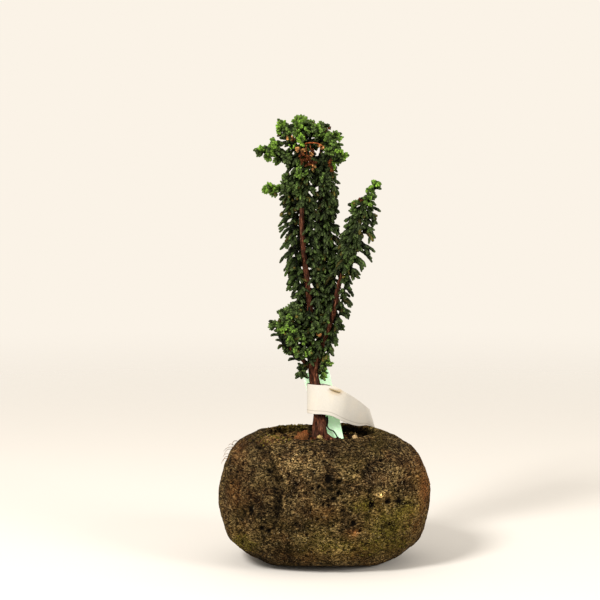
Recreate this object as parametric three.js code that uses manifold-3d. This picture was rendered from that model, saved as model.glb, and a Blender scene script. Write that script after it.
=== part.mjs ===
// A young hinoki cypress with cord-like crested foliage, growing in a hollowed block of lava stone.
// Millimetres, +Z up, front towards -Y. The origin is on the floor, under the middle of the stone.

import * as THREE from 'three';
import { LoftGeometry } from 'three/addons/geometries/LoftGeometry.js';
import { mergeVertices } from 'three/addons/utils/BufferGeometryUtils.js';
import Module from 'manifold-3d';

const wasm = await Module();
wasm.setup();

// ---------------------------------------------------------------- driving dimensions

const GAP = 0.35; // clearance between pieces that touch
const SEED = 41;
const UP = new THREE.Vector3(0, 0, 1);

const STONE = {
  halfWidth: 75, halfDepth: 63, middle: 44, lowHalf: 50, topHalf: 51.5,
  planPower: 2.25, lowPower: 2.3, topPower: 2.8, tilt: 0.03, columns: 32, rows: 9,
};
const HOLLOW = { x: -3.5, y: 3.5, mouth: 38.5, crest: 2.6, floor: 24, drain: 7 };
const WALL = [[62, 38.2], [44, 36.5], [30, 31], [HOLLOW.floor, 25]]; // hollow: height, radius
const SOIL = { level: 84, mound: 3, moundX: -22, moundY: -4, moundSpread: 22 };
const MESH_DISC = { radius: 12, thickness: 1.2, pitch: 4.6, hole: 3 };

// Each stem: points with the radius there.
const STEMS = {
  front: [[-3.1, 0.5, 60, 3.2], [-3.1, 0, 78, 6.2], [-3.1, 0, 88, 5.3], [-3.5, 0, 102, 4.3],
    [-4.6, 0, 114, 3.9], [-7, 0, 128, 3.5], [-8.8, 0, 142, 3], [-9.7, -0.6, 158, 2.5],
    [-10.2, -1, 178, 2.15], [-12.5, -1.5, 200, 1.95], [-15.2, -1.5, 224, 1.75],
    [-16, -1, 246, 1.6], [-15.6, 0, 266, 1.4], [-13.7, 1, 288, 1.1], [-12.4, 1.5, 300, 0.8]],
  rear: [[-7.4, 0.8, 126, 2.6], [-5.4, 4.5, 140, 2.5], [-3.4, 8, 156, 2.2], [-1.8, 10, 182, 2],
    [-1.4, 10, 206, 1.85], [-2, 9, 232, 1.65], [-3, 7.5, 262, 1.45], [-2.8, 6, 284, 1.15],
    [-1.6, 5, 300, 0.8]],
  right: [[-7.6, -0.6, 131, 2.4], [-4.8, -2, 145, 2.4], [-0.4, -3, 156.5, 2.2],
    [3.8, -3, 168, 2.05], [6.7, -3, 179, 1.9], [9.9, -3, 195, 1.75], [14.9, -2.5, 212, 1.55],
    [21.8, -2, 231, 1.35], [28.7, -1, 250, 1.05], [32.4, 0, 259, 0.8]],
  limb: [[-8, -0.4, 134, 1.7], [-14.4, -2, 141.5, 1.6], [-19.6, -4, 146, 1.35],
    [-23.6, -6, 151, 1.1], [-25.6, -7, 157, 0.8]],
  stub: [[-0.6, -2.8, 157, 1.5], [-2.2, -5.2, 160, 1.4], [-3, -6.4, 161.4, 1.25]],
};
const ROOTS = { count: 5, turn: -6, reach: 15, dive: 17, thick: 3.1, thin: 1.1, level: 85.5 };

// Pits in the front of the stone: x, height, radius. More lie round the sides and back.
const FRONT_PITS = [[0.4, 67.4, 2.2], [8.6, 66, 1.8], [-7, 62, 2], [8.6, 57.8, 2.4],
  [3.2, 53, 2.6], [10.6, 46, 2], [31.7, 51, 2.2], [42.5, 50.5, 2.5], [43.9, 37.2, 2],
  [-41, 56, 1.9]];
const SIDE_PITS = { count: 7, lowest: 18, highest: 76, radius: 1.7, spread: 0.9 };
const GROOVE = { x: -32, width: 5, depth: 2, low: 14, high: 66 };

const LUMPS = { count: 10, radius: 1.9, spread: 1.1 }; // soil grains that stand out of the surface
const CLAY_LUMP = { x: -15.5, y: -20, radius: 3.6 };

const LABEL = { corner: [-15.1, 7, 131.3], lean: 12, width: 18.5, head: 24, stake: 10.4,
  length: 62, point: 9, thickness: 0.8, round: 1.6 };
const WIRE = { radius: 0.55, path: [[1.6, 3.4, 101.5], [2, 4.4, 98.6], [1.9, 4.9, 94.5],
  [3.4, 5.2, 92.2], [6.6, 5.2, 90.6], [9, 5, 86.5], [9.8, 4.8, 82], [10, 4.6, 76]] };

// The paper strip: its upper and lower edge at each station, from the far end of the tail to
// the staple, round the front of the trunk and back behind it.
const STRIP = {
  thickness: 0.6,
  tail: [[[32.4, 27, 102.4], [37.2, 34.6, 86.8]], [[29.2, 19, 105.8], [30.9, 29, 90.9]],
    [[24.7, 11, 110.2], [24.2, 16, 92.8]], [[19.6, 4, 114.4], [18.2, 5, 95.8]],
    [[14.5, -3, 118.2], [12, -3, 99.4]], [[8.1, -6.6, 122.2], [5.4, -6.6, 103.2]]],
  loop: [[[1, -7.3, 123.4], [-0.6, -7.3, 104.6]], [[-6, -6.8, 123.7], [-7, -6.8, 104.8]],
    [[-10.8, -4, 123.9], [-11.2, -4, 105]], [[-12.4, 0.4, 123.9], [-12, 0.4, 105]],
    [[-9.8, 4.4, 123.6], [-9, 4.6, 104.7]], [[-5, 4.9, 123.3], [-3.6, 5, 104.4]],
    [[0.5, 4, 122.9], [1.4, 4.3, 104]], [[4.6, 0.2, 122.4], [4.2, 1, 103.5]]],
};
const STAPLE = { along: 7.6, back: 0.58, wire: 0.35, leg: 2.2, below: 2.6 };

// Drooping green cords, fingers of a crested shoot, and the slim twigs that bear the cords:
// belly is the radius at a finger's widest. A cord runs out by reach, up by rise and down by
// drop, shares of its length; those to the twig's sides and towards the stem are shorter.
const CORD = { belly: 1.2, reach: 0.76, rise: 0.08, drop: 0.6, turn: 24, vary: 0.3,
  sideways: 0.9, inwards: 0.6 };
const CREST = { radius: 1.15, stretch: 2.3, splay: 62, finger: 6.6, belly: 1.6, turn: 24, vary: 0.35 };
const TWIG = { radius: 0.8, stretch: 3.3 };
const SHOOT_BEND = { out: 0.6, up: 0.12 };
const ROOT_STAND = 0.8; // from a stem's bark to the middle of a cord's slanting root
const ROOT_SHARE = 0.75; // radius of a cord's root, to its own
const FINGER_START = 0.3; // share of a finger's length that belongs to its root
const BELLY_PLACE = 0.58;
const OWN_GAP = 0.05; // between the fingers of one piece
const TRIES = [[1, 0], [1, 20], [1, -20], [0.78, 0], [0.78, 24], [0.78, -24],
  [0.58, 0], [0.58, 30], [0.58, -30]]; // size and turn of a finger, in the order they are tried
const BARE_BARK = { low: 177, high: 246, halfWidth: 3 }; // of the front leader, seen from the front

// Twigs up each stem: low end, high end, heading from the stem (degrees round +Z from +X),
// distance from the bark, and the cords' length at the low and the high end.
const TWIGS = {
  front: [[153, 190, 172, 3, 10, 12], [190, 230, 184, 4.5, 12.5, 14], [230, 268, 152, 4.5, 13.5, 13],
    [262, 286, 236, 4, 12, 10], [157, 197, 100, 3, 11, 12], [200, 244, 95, 3.5, 12, 12],
    [246, 284, 112, 3.5, 12, 11], [166, 206, -8, 2.6, 9, 9], [209, 249, -4, 2.6, 9, 10],
    [249, 285, -62, 2.8, 11, 10]],
  rear: [[157, 197, 8, 2.6, 10, 11], [199, 240, 3, 3, 11, 11.5], [242, 282, -3, 3, 11.5, 10],
    [160, 200, 98, 3, 11, 11], [204, 244, 102, 3, 11, 11], [248, 284, 88, 3, 11, 10],
    [154, 193, -70, 2.8, 10, 11], [196, 238, -82, 3, 11, 11], [241, 281, -66, 3, 11, 10]],
  right: [[143, 168, -22, 2, 8.5, 9.5], [169, 195, -12, 2, 9.5, 10], [197, 224, -28, 3, 11, 13],
    [226, 249, -5, 3, 12, 9], [150, 181, 80, 2.4, 9, 10], [184, 214, 146, 2.6, 10, 10],
    [216, 246, 168, 2.6, 10, 9], [204, 236, -112, 2.6, 10, 10]],
};

// Shoots with crested fans: the stem they leave, the height there (Infinity for its end), and
// where the tip reaches.
const SHOOTS = [
  ['front', 281, [-45.5, -5, 289]], ['front', 286, [-30.5, -5, 303]],
  ['front', 293, [-17.5, -10, 299]], ['front', Infinity, [-15, 0, 313]],
  ['rear', Infinity, [2, 1, 308]], ['rear', 290, [10.5, -3, 299]], ['rear', 274, [13.5, -5, 285.5]],
  ['front', 259, [-41, -5, 264]], ['rear', 294, [-8, 17, 305]], ['rear', 280, [9, 18, 293]],
  ['front', 288, [-25, 14, 296]], ['right', Infinity, [36.6, 0, 266]],
  ['right', 245, [19.5, -6, 253]], ['front', 127, [-17.5, -2, 133.5]],
  ['front', 128.5, [2.6, -4, 134]], ['limb', Infinity, [-28, -10, 170]],
  ['limb', 149.5, [-35.5, -8, 162]], ['limb', 146.5, [-23, -15, 160]],
  ['limb', 143, [-30.5, 3.5, 148.5]], ['front', 142, [-12, -12, 151]], ['front', 160, [-6, -12, 169]],
  ['right', 251, [31, -9, 258]], ['rear', 293, [1, -9, 300]], ['front', 255, [-28, -11, 274]],
];
const WITHERED = [[-13.3, -1.1, 289.8, 0.75], [-13.4, -8, 293.4, 0.75], [-9.6, -9.4, 294.2, 0.75],
  [-5.4, -9.8, 293.8, 0.7], [-1.8, -9.2, 292, 0.6]];
const WITHERED_FINGER = { belly: 1.4, place: 2.4, length: 4.2, aim: [0.25, 0.55, -0.8],
  places: [[0, -1], [1, -1], [2, 1], [3, -1]] }; // [stretch, side]

// ---------------------------------------------------------------- small tools

/** Seeded random numbers between 0 and 1, the same on every run. */
function randomFrom(seed) {
  let state = seed >>> 0;
  return () => {
    state = (state + 0x6d2b79f5) >>> 0;
    let mixed = Math.imul(state ^ (state >>> 15), state | 1);
    mixed ^= mixed + Math.imul(mixed ^ (mixed >>> 7), mixed | 61);
    return ((mixed ^ (mixed >>> 14)) >>> 0) / 4294967296;
  };
}

const vec = (x, y, z) => new THREE.Vector3(x, y, z);
const radians = THREE.MathUtils.degToRad;
const headingOf = (degrees) => vec(Math.cos(radians(degrees)), Math.sin(radians(degrees)), 0);

/** Welds a geometry's corners and drops the triangles that close up. */
function weld(geometry) {
  const bare = new THREE.BufferGeometry().copy(geometry);
  bare.deleteAttribute('normal');
  bare.deleteAttribute('uv');
  const merged = mergeVertices(bare, 1e-4);
  const kept = [];
  const index = merged.index.array;
  for (let i = 0; i < index.length; i += 3) {
    const [a, b, c] = [index[i], index[i + 1], index[i + 2]];
    if (a !== b && b !== c && c !== a) kept.push(a, b, c);
  }
  merged.setIndex(kept);
  return merged;
}

function solid(geometry) {
  const closed = weld(geometry);
  return new wasm.Manifold(new wasm.Mesh({
    numProp: 3,
    vertProperties: new Float32Array(closed.attributes.position.array),
    triVerts: new Uint32Array(closed.index.array),
  }));
}

/** Joins solids, and keeps the one outer body: no loose scrap and no sealed hollow. */
function fuse(solids) {
  const bodies = wasm.Manifold.union(solids).decompose();
  return bodies.reduce((best, body) => (body.volume() > best.volume() ? body : best));
}

function geometryOf(body) {
  const mesh = body.getMesh();
  const geometry = new THREE.BufferGeometry();
  geometry.setAttribute('position', new THREE.BufferAttribute(mesh.vertProperties, 3));
  geometry.setIndex(new THREE.BufferAttribute(mesh.triVerts, 1));
  geometry.computeVertexNormals();
  return geometry;
}

/** A round rod through the points, with its own radius at each; a radius of 0 makes a tip. */
function rod(points, radii, sides, across = null) {
  const chord = points.at(-1).clone().sub(points[0]);
  const guide = across ?? (Math.abs(chord.y) > 0.8 * chord.length() ? vec(1, 0, 0) : vec(0, 1, 0));
  const sections = points.map((point, i) => {
    const along = points[Math.min(i + 1, points.length - 1)].clone()
      .sub(points[Math.max(i - 1, 0)]).normalize();
    const side = guide.clone().addScaledVector(along, -guide.dot(along)).normalize();
    const other = along.clone().cross(side);
    return Array.from({ length: sides }, (_, k) => {
      const turn = (2 * Math.PI * (k + 0.5)) / sides;
      return point.clone().addScaledVector(side, radii[i] * Math.cos(turn))
        .addScaledVector(other, radii[i] * Math.sin(turn));
    });
  });
  return new LoftGeometry(sections, { capStart: radii[0] > 0, capEnd: radii.at(-1) > 0 });
}

/** A stem's centre line and radius at a fraction of its listed points. */
function stemAt(stem, fraction) {
  const last = stem.length - 1;
  const curve = new THREE.CatmullRomCurve3(stem.map(([x, y, z]) => vec(x, y, z)));
  const place = THREE.MathUtils.clamp(fraction, 0, 1) * last;
  const i = Math.min(Math.floor(place), last - 1);
  const radius = THREE.MathUtils.lerp(stem[i][3], stem[i + 1][3], place - i);
  return { point: curve.getPoint(Math.min(place / last, 1)), radius };
}

function fractionAtHeight(stem, height) {
  const last = stem.length - 1;
  const i = Math.max(0, Math.min(last - 1, stem.findIndex(([, , z]) => z > height) - 1));
  return (i + (height - stem[i][2]) / (stem[i + 1][2] - stem[i][2])) / last;
}

// ---------------------------------------------------------------- stone

const power = (value, exponent) => Math.abs(value) ** exponent;

/** Lift of a height above the stone's middle, from -1 to 1, and how far the skin spreads there. */
function skinSpread(height) {
  const above = height >= STONE.middle;
  const lift = (height - STONE.middle) / (above ? STONE.topHalf : STONE.lowHalf);
  const round = above ? STONE.topPower : STONE.lowPower;
  return { lift, spread: (1 - power(lift, round)) ** (1 / round) };
}

/** Low lumps and one groove in the stone's skin, in mm outwards. */
function relief(angle, height, x, y) {
  const lumps = 0.8 * Math.sin(3 * angle + 0.6 + 0.05 * height)
    + 0.7 * Math.sin(5 * angle - 0.09 * height + 2) + 0.5 * Math.sin(8 * angle + 0.16 * height);
  const inGroove = y < 0 && height > GROOVE.low && height < GROOVE.high;
  const across = (x - GROOVE.x) / GROOVE.width;
  return lumps - (inGroove ? GROOVE.depth * Math.exp(-across * across) : 0);
}

function skinPoint(angle, height) {
  const { lift, spread } = skinSpread(height);
  const plan = (power(Math.cos(angle) / STONE.halfWidth, STONE.planPower)
    + power(Math.sin(angle) / STONE.halfDepth, STONE.planPower)) ** (-1 / STONE.planPower);
  const bare = plan * spread;
  const reach = bare + relief(angle, height, bare * Math.cos(angle), Math.sin(angle))
    * Math.min(1, spread * 1.2);
  const x = reach * Math.cos(angle);
  return vec(x, reach * Math.sin(angle), height - STONE.tilt * x * Math.max(lift, 0));
}

/** Height of the stone's crown over a place in plan. */
function crownHeight(x, y) {
  const out = power(x / STONE.halfWidth, STONE.planPower) + power(y / STONE.halfDepth, STONE.planPower);
  const lift = (1 - out ** (STONE.topPower / STONE.planPower)) ** (1 / STONE.topPower);
  return STONE.middle + STONE.topHalf * lift - STONE.tilt * x * lift;
}

const mouthRadius = (angle) => HOLLOW.mouth + 0.7 * Math.sin(2 * angle + 1)
  + 0.5 * Math.sin(5 * angle);

function ring(count, pointAt) {
  return Array.from({ length: count }, (_, k) => pointAt((2 * Math.PI * k) / count));
}

/** A ring about the hollow's own axis. */
function hollowRing(count, radiusAt, heightAt) {
  return ring(count, (angle) => {
    const x = HOLLOW.x + radiusAt(angle) * Math.cos(angle);
    const y = HOLLOW.y + radiusAt(angle) * Math.sin(angle);
    return vec(x, y, heightAt(x, y));
  });
}

function stonePot() {
  const { columns, rows, middle, lowHalf, topHalf, lowPower, topPower } = STONE;
  const lowest = -Math.asin((middle / lowHalf) ** (lowPower / 2));
  const highest = Math.acos(0.8 ** (topPower / 2));
  const outer = Array.from({ length: rows }, (_, i) => {
    const turn = THREE.MathUtils.lerp(lowest, highest, i / (rows - 1));
    const [half, round] = turn < 0 ? [lowHalf, lowPower] : [topHalf, topPower];
    const height = middle + Math.sign(turn) * half * power(Math.sin(turn), 2 / round);
    return ring(columns, (angle) => skinPoint(angle, Math.max(height, 0)));
  });
  const box = new THREE.Box3().setFromPoints(outer.flat());
  const shift = box.getCenter(vec(0, 0, 0)).setZ(0);
  outer.flat().forEach((point) => point.sub(shift));

  const crest = hollowRing(columns, (a) => mouthRadius(a) + HOLLOW.crest, crownHeight);
  const shoulder = outer.at(-1).map((point, k) => {
    const between = point.clone().lerp(crest[k], 0.5);
    return between.setZ(crownHeight(between.x, between.y));
  });
  const lips = [[0.7, 0.9], [0, 3.4]].map(([out, down]) =>
    hollowRing(columns, (a) => mouthRadius(a) + out, (x, y) => crownHeight(x, y) - down));
  const walls = WALL.map(([height, radius]) => hollowRing(columns, () => radius, () => height));
  const drain = [HOLLOW.floor, 0].map((height) =>
    hollowRing(columns, () => HOLLOW.drain, () => height));
  const sections = [drain[1], ...outer, shoulder, crest, ...lips, ...walls, ...drain];
  return solid(new LoftGeometry(sections)).subtract(wasm.Manifold.union(pits()));
}

/** Gas pits: rough balls sunk into the skin. */
function pits() {
  const random = randomFrom(SEED);
  const ball = (centre, radius) => {
    const geometry = new THREE.IcosahedronGeometry(radius, 0);
    geometry.rotateX(3 * random());
    geometry.rotateZ(3 * random());
    geometry.scale(1, 1, 0.8);
    geometry.translate(centre.x, centre.y, centre.z);
    return solid(geometry);
  };
  const front = FRONT_PITS.map(([x, height, radius]) => {
    const { spread } = skinSpread(height);
    const across = power(x / (STONE.halfWidth * spread), STONE.planPower);
    const y = -STONE.halfDepth * spread * (1 - across) ** (1 / STONE.planPower);
    return ball(skinPoint(Math.atan2(y, x), height), radius);
  });
  const sides = Array.from({ length: SIDE_PITS.count }, (_, k) => {
    const angle = Math.PI * ((k + random()) * 1.1 / SIDE_PITS.count - 0.05);
    const height = THREE.MathUtils.lerp(SIDE_PITS.lowest, SIDE_PITS.highest, random());
    return ball(skinPoint(angle, height), SIDE_PITS.radius + SIDE_PITS.spread * random());
  });
  return [...front, ...sides];
}

// ---------------------------------------------------------------- soil and what stands in it

function soilHeight(x, y) {
  const away = ((x - SOIL.moundX) ** 2 + (y - SOIL.moundY) ** 2) / SOIL.moundSpread ** 2;
  return SOIL.level + SOIL.mound * Math.exp(-away)
    + 0.45 * Math.sin(0.9 * x + 0.4 * y) * Math.cos(0.7 * y - 0.2 * x);
}

function grainOn(x, y, radius, random) {
  const geometry = new THREE.IcosahedronGeometry(radius, 0);
  geometry.scale(1, 0.85 + 0.3 * random(), 0.75);
  geometry.rotateZ(6 * random());
  geometry.translate(x, y, soilHeight(x, y) + 0.2 * radius);
  return solid(geometry);
}

function soilBed() {
  const columns = STONE.columns / 2;
  const inset = GAP + 0.15;
  const bottom = HOLLOW.floor + GAP;
  const walls = WALL.toReversed().map(([height, radius], i) =>
    hollowRing(columns, () => radius - inset, () => (i === 0 ? bottom : height)));
  const edge = hollowRing(columns, () => HOLLOW.mouth - 1.3 - inset, soilHeight);
  const top = [0.86, 0.66, 0.45, 0.24].map((share) =>
    hollowRing(columns, () => HOLLOW.mouth * share, soilHeight));
  const bed = solid(new LoftGeometry([...walls, edge, ...top], { capStart: true, capEnd: true }));

  const random = randomFrom(SEED + 1);
  const grains = Array.from({ length: LUMPS.count }, (_, k) => {
    const turn = 2.4 * k + random();
    const out = 10 + 24 * Math.sqrt((k + 0.5) / LUMPS.count);
    return grainOn(HOLLOW.x + out * Math.cos(turn), HOLLOW.y + out * Math.sin(turn),
      LUMPS.radius + LUMPS.spread * random(), random);
  });
  const clay = grainOn(CLAY_LUMP.x, CLAY_LUMP.y, CLAY_LUMP.radius, random);
  const holes = [
    ...treeParts(GAP), wireRod(GAP), labelPlate(GAP),
    discAt(MESH_DISC.radius + GAP, HOLLOW.floor - 1, HOLLOW.floor + MESH_DISC.thickness + 2 * GAP),
  ];
  return fuse([fuse([bed, ...grains, clay]).subtract(wasm.Manifold.union(holes))]);
}

function discAt(radius, low, high) {
  const geometry = new THREE.CylinderGeometry(radius, radius, high - low, 20);
  geometry.rotateX(Math.PI / 2);
  geometry.translate(HOLLOW.x, HOLLOW.y, (low + high) / 2);
  return solid(geometry);
}

function drainMesh() {
  const { radius, thickness, pitch, hole } = MESH_DISC;
  const low = HOLLOW.floor + GAP;
  const holes = [[0, 0], [1, 0], [0, 1], [-1, 0], [0, -1]].map(([i, j]) => {
    const geometry = new THREE.BoxGeometry(hole, hole, 3 * thickness);
    geometry.translate(HOLLOW.x + i * pitch, HOLLOW.y + j * pitch, low);
    return solid(geometry);
  });
  return discAt(radius, low, low + thickness).subtract(wasm.Manifold.union(holes));
}

/** Flag-shaped label with a pointed stake; extra widens it all round, for its slot in the soil. */
function labelPlate(extra = 0) {
  const { width, head, stake, length, point, thickness, round } = LABEL;
  const left = width - stake;
  const shape = new THREE.Shape();
  shape.moveTo(-extra, -round);
  shape.lineTo(-extra, extra - head + round);
  shape.quadraticCurveTo(-extra, -head - extra, round, -head - extra);
  shape.lineTo(left - extra, -head - extra);
  shape.lineTo(left - extra, point - length);
  shape.lineTo(left + stake / 2, -length - 2 * extra);
  shape.lineTo(width + extra, point - length);
  shape.lineTo(width + extra, -round);
  shape.quadraticCurveTo(width + extra, extra, width - round, extra);
  shape.lineTo(round, extra);
  shape.quadraticCurveTo(-extra, extra, -extra, -round);
  const geometry = new THREE.ExtrudeGeometry(shape,
    { depth: thickness + 2 * extra, bevelEnabled: false, curveSegments: 3 });
  geometry.translate(0, 0, -thickness - extra);
  geometry.rotateX(Math.PI / 2);
  geometry.rotateY(-radians(LABEL.lean));
  geometry.translate(...LABEL.corner);
  return solid(geometry);
}

function wireRod(extra = 0) {
  const curve = new THREE.CatmullRomCurve3(WIRE.path.map((p) => vec(...p)));
  const points = curve.getPoints(9);
  if (extra > 0) points.at(-1).z -= 2 * extra;
  return solid(rod(points, points.map(() => WIRE.radius + extra), 5));
}

// ---------------------------------------------------------------- paper strip and staple

/** Both edges of the strip at every station: up the tail, round the trunk, back down the tail. */
function stripStations() {
  const stations = [...STRIP.tail, ...STRIP.loop].map((pair) => pair.map((p) => vec(...p)));
  const count = STRIP.tail.length;
  const behind = stations.slice(0, count).map(([high, low], i) => {
    const next = stations[i + 1];
    const ahead = next[0].clone().add(next[1]).sub(high).sub(low);
    const normal = high.clone().sub(low).cross(ahead).normalize();
    const shift = normal.multiplyScalar(-(STRIP.thickness + GAP));
    return [high.clone().add(shift), low.clone().add(shift)];
  });
  return [...stations, ...behind.toReversed()];
}

function paperStrip() {
  const stations = stripStations();
  const edges = [0, 1].map((side) =>
    new THREE.CatmullRomCurve3(stations.map((pair) => pair[side])));
  const steps = Math.round(1.4 * (stations.length - 1));
  const sections = Array.from({ length: steps + 1 }, (_, k) => {
    const share = k / steps;
    const [high, low] = edges.map((edge) => edge.getPoint(share));
    const before = edges.map((edge) => edge.getPoint(Math.max(share - 0.01, 0)));
    const after = edges.map((edge) => edge.getPoint(Math.min(share + 0.01, 1)));
    const ahead = after[0].add(after[1]).sub(before[0]).sub(before[1]);
    const half = high.clone().sub(low).cross(ahead).normalize().multiplyScalar(STRIP.thickness / 2);
    return [high.clone().add(half), high.clone().sub(half), low.clone().sub(half),
      low.clone().add(half)];
  });
  const strip = solid(new LoftGeometry(sections, { capStart: true, capEnd: true }));
  return strip.subtract(staple(GAP));
}

/** Staple through both layers near the strip's upper edge. */
function staple(extra = 0) {
  const [high, low] = STRIP.tail.at(-1).map((p) => vec(...p));
  const down = low.clone().sub(high).normalize();
  const along = vec(...STRIP.tail.at(-2)[0]).sub(vec(...STRIP.loop[0][0])).normalize();
  const inwards = along.clone().cross(down).normalize();
  const out = STRIP.thickness / 2 + GAP + STAPLE.wire - extra;
  const start = high.clone().addScaledVector(down, STAPLE.below).addScaledVector(inwards, -out);
  const radius = STAPLE.wire + extra;
  const ends = [-STAPLE.back, 1 - STAPLE.back].map((share) =>
    start.clone().addScaledVector(along, STAPLE.along * share));
  const legs = ends.map((end) => solid(rod(
    [end.clone(), end.clone().addScaledVector(inwards, out + STAPLE.leg)], [radius, radius], 6)));
  if (extra > 0) return wasm.Manifold.union(legs);
  ends[0].addScaledVector(along, -radius);
  ends[1].addScaledVector(along, radius);
  return fuse([solid(rod(ends, [radius, radius], 6)), ...legs]);
}

// ---------------------------------------------------------------- tree

const TRUNK_SIDES = 8;
const STEM_SIDES = 6;

/** Trunk, leaders, branch, limb, stub and roots; extra widens them, for their hole in the soil. */
function treeParts(extra = 0) {
  const stems = Object.entries(STEMS).map(([name, stem]) => {
    const samples = stem.map((_, k) => stemAt(stem, k / (stem.length - 1)));
    if (name === 'front') samples[0].point.z -= 1.5 * extra;
    return solid(rod(samples.map((s) => s.point), samples.map((s) => s.radius + extra),
      name === 'front' ? TRUNK_SIDES : STEM_SIDES));
  });
  const roots = Array.from({ length: ROOTS.count }, (_, k) => {
    const away = headingOf(360 * k / ROOTS.count + ROOTS.turn + 14 * Math.sin(5 * k));
    const base = vec(STEMS.front[1][0], STEMS.front[1][1], 0);
    const place = (out, height) => base.clone().addScaledVector(away, out).setZ(height);
    const reach = ROOTS.reach * (0.85 + 0.25 * Math.sin(3 * k + 1));
    const points = [place(1.5, ROOTS.level + 3.5), place(0.42 * reach, ROOTS.level + 0.4),
      place(0.8 * reach, ROOTS.level - 3.2), place(reach, ROOTS.level - ROOTS.dive - 1.5 * extra)];
    const radii = [ROOTS.thick, ROOTS.thick * 0.78, ROOTS.thick * 0.6, ROOTS.thin];
    return solid(rod(points, radii.map((radius) => radius + extra), 5));
  });
  return [...stems, ...roots];
}

// ---------------------------------------------------------------- foliage

const placed = []; // every stretch that later foliage has to keep clear of

function remember(owner, points, radii) {
  for (let i = 1; i < points.length; i += 1) {
    const [a, b] = [points[i - 1], points[i]];
    placed.push({ owner, a, b, radius: Math.max(radii[i - 1], radii[i]),
      middle: a.clone().lerp(b, 0.5), half: a.distanceTo(b) / 2 });
  }
}

/** Shortest distance between two straight stretches. */
function distanceBetween(a, b, c, d) {
  const along = b.clone().sub(a);
  const other = d.clone().sub(c);
  const offset = a.clone().sub(c);
  const [aa, bb, ab] = [along.dot(along), other.dot(other), along.dot(other)];
  const [ao, bo] = [along.dot(offset), other.dot(offset)];
  const spread = aa * bb - ab * ab;
  let s = spread > 1e-9 ? THREE.MathUtils.clamp((ab * bo - bb * ao) / spread, 0, 1) : 0;
  const t = THREE.MathUtils.clamp((ab * s + bo) / bb, 0, 1);
  s = THREE.MathUtils.clamp((ab * t - ao) / aa, 0, 1);
  return a.clone().addScaledVector(along, s).distanceTo(c.clone().addScaledVector(other, t));
}

/** Whether a stretch keeps the gap to every other piece, and clears its own piece's fingers. */
function isClear(owner, a, b, radius) {
  const middle = a.clone().lerp(b, 0.5);
  const half = a.distanceTo(b) / 2;
  return placed.every((other) => {
    if (other.owner === owner && !other.finger) return true;
    const room = radius + other.radius + (other.owner === owner ? OWN_GAP : GAP);
    return middle.distanceTo(other.middle) > room + half + other.half
      || distanceBetween(a, b, other.a, other.b) > room;
  });
}

/**
 * A four-sided cord with fingers raised from its faces: each finger takes the face of one
 * stretch as its root, swells to a belly and closes in a tip.
 */
function cordGeometry(loft, fingers) {
  const { corners, index } = loft;
  const add = (point) => corners.push(point) - 1;
  for (const { stretch, face, middle, tip, belly } of fingers) {
    const first = (stretch * 4 + face) * 6;
    const [a, b, d, , c] = index.slice(first, first + 6);
    const aim = tip.clone().sub(corners[a]).normalize();
    const along = corners[d].clone().sub(corners[a]).projectOnPlane(aim).normalize();
    const around = along.clone().cross(aim).negate();
    if (around.dot(corners[b].clone().sub(corners[a])) < 0) around.negate();
    const swell = [[-1, -1], [-1, 1], [1, 1], [1, -1]].map(([u, v]) => add(middle.clone()
      .addScaledVector(along, u * belly * Math.SQRT1_2).addScaledVector(around, v * belly * Math.SQRT1_2)));
    const end = add(tip);
    const root = [a, b, c, d];
    const raised = root.flatMap((low, k) => {
      const next = (k + 1) % 4;
      return [low, root[next], swell[k], root[next], swell[next], swell[k], swell[k], swell[next], end];
    });
    index.splice(first, 6, a, a, a, a, a, a);
    index.push(...raised);
  }
  const geometry = new THREE.BufferGeometry().setFromPoints(corners);
  geometry.setIndex(index);
  return geometry;
}

/** The corners of a cord's four-sided rod, and where each of its faces is and looks. */
function cordLoft(points, radii, across) {
  const loft = rod(points, radii, 4, across);
  const corners = Array.from({ length: loft.attributes.position.count }, (_, i) =>
    new THREE.Vector3().fromBufferAttribute(loft.attributes.position, i));
  const index = Array.from(loft.index.array);
  const faceAt = (stretch, face) => {
    const first = (stretch * 4 + face) * 6;
    const [a, b, d, , c] = index.slice(first, first + 6).map((k) => corners[k]);
    const middle = a.clone().add(b).add(c).add(d).multiplyScalar(0.25);
    const axis = points[stretch].clone().lerp(points[stretch + 1], 0.5);
    const lead = points[stretch + 1].clone().sub(points[stretch]).normalize();
    return { middle, lead, out: middle.clone().sub(axis).projectOnPlane(lead).normalize() };
  };
  return { corners, index, faceAt };
}

/** Radii along a cord: drawn in at its root, and closed in a tip. */
const cordRadii = (points, radius) => points.map((_, i) =>
  radius * (i === 0 ? ROOT_SHARE : Number(i < points.length - 1)));

/**
 * One foliage node: a four-sided cord with a finger on every face of its inner stretches, each
 * at the first length and turn that finds room. fingerAt gives a finger's path from its draws.
 */
function leafyCord({ name, points, radius, across, random, fingerAt }) {
  const last = points.length - 1;
  const loft = cordLoft(points, cordRadii(points, radius), across);
  const fingers = [];
  for (let stretch = 1; stretch < last; stretch += 1) {
    for (const face of [3, 0, 2, 1]) {
      const draws = [random() - 0.5, random() - 0.5];
      const where = { ...loft.faceAt(stretch, face), face, share: stretch / last };
      for (const [size, turn] of TRIES) {
        const { pathAt, belly } = fingerAt(where, draws, size, turn);
        const [start, middle, tip] = [FINGER_START, BELLY_PLACE, 1].map(pathAt);
        if (isClear(name, start, middle, belly) && isClear(name, middle, tip, belly)) {
          fingers.push({ stretch, face, middle, tip, belly });
          for (const [a, b] of [[start, middle], [middle, tip]]) {
            remember(name, [a, b], [belly, belly]);
            placed.at(-1).finger = true;
          }
          break;
        }
      }
    }
  }
  return solid(cordGeometry(loft, fingers));
}

/** Where a cord starts: just off the stem's bark, on the side that it heads to. */
function besideStem(stem, height, heading, distance) {
  const { point, radius } = stemAt(STEMS[stem], fractionAtHeight(STEMS[stem], height));
  return point.addScaledVector(heading, radius + distance);
}

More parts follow.
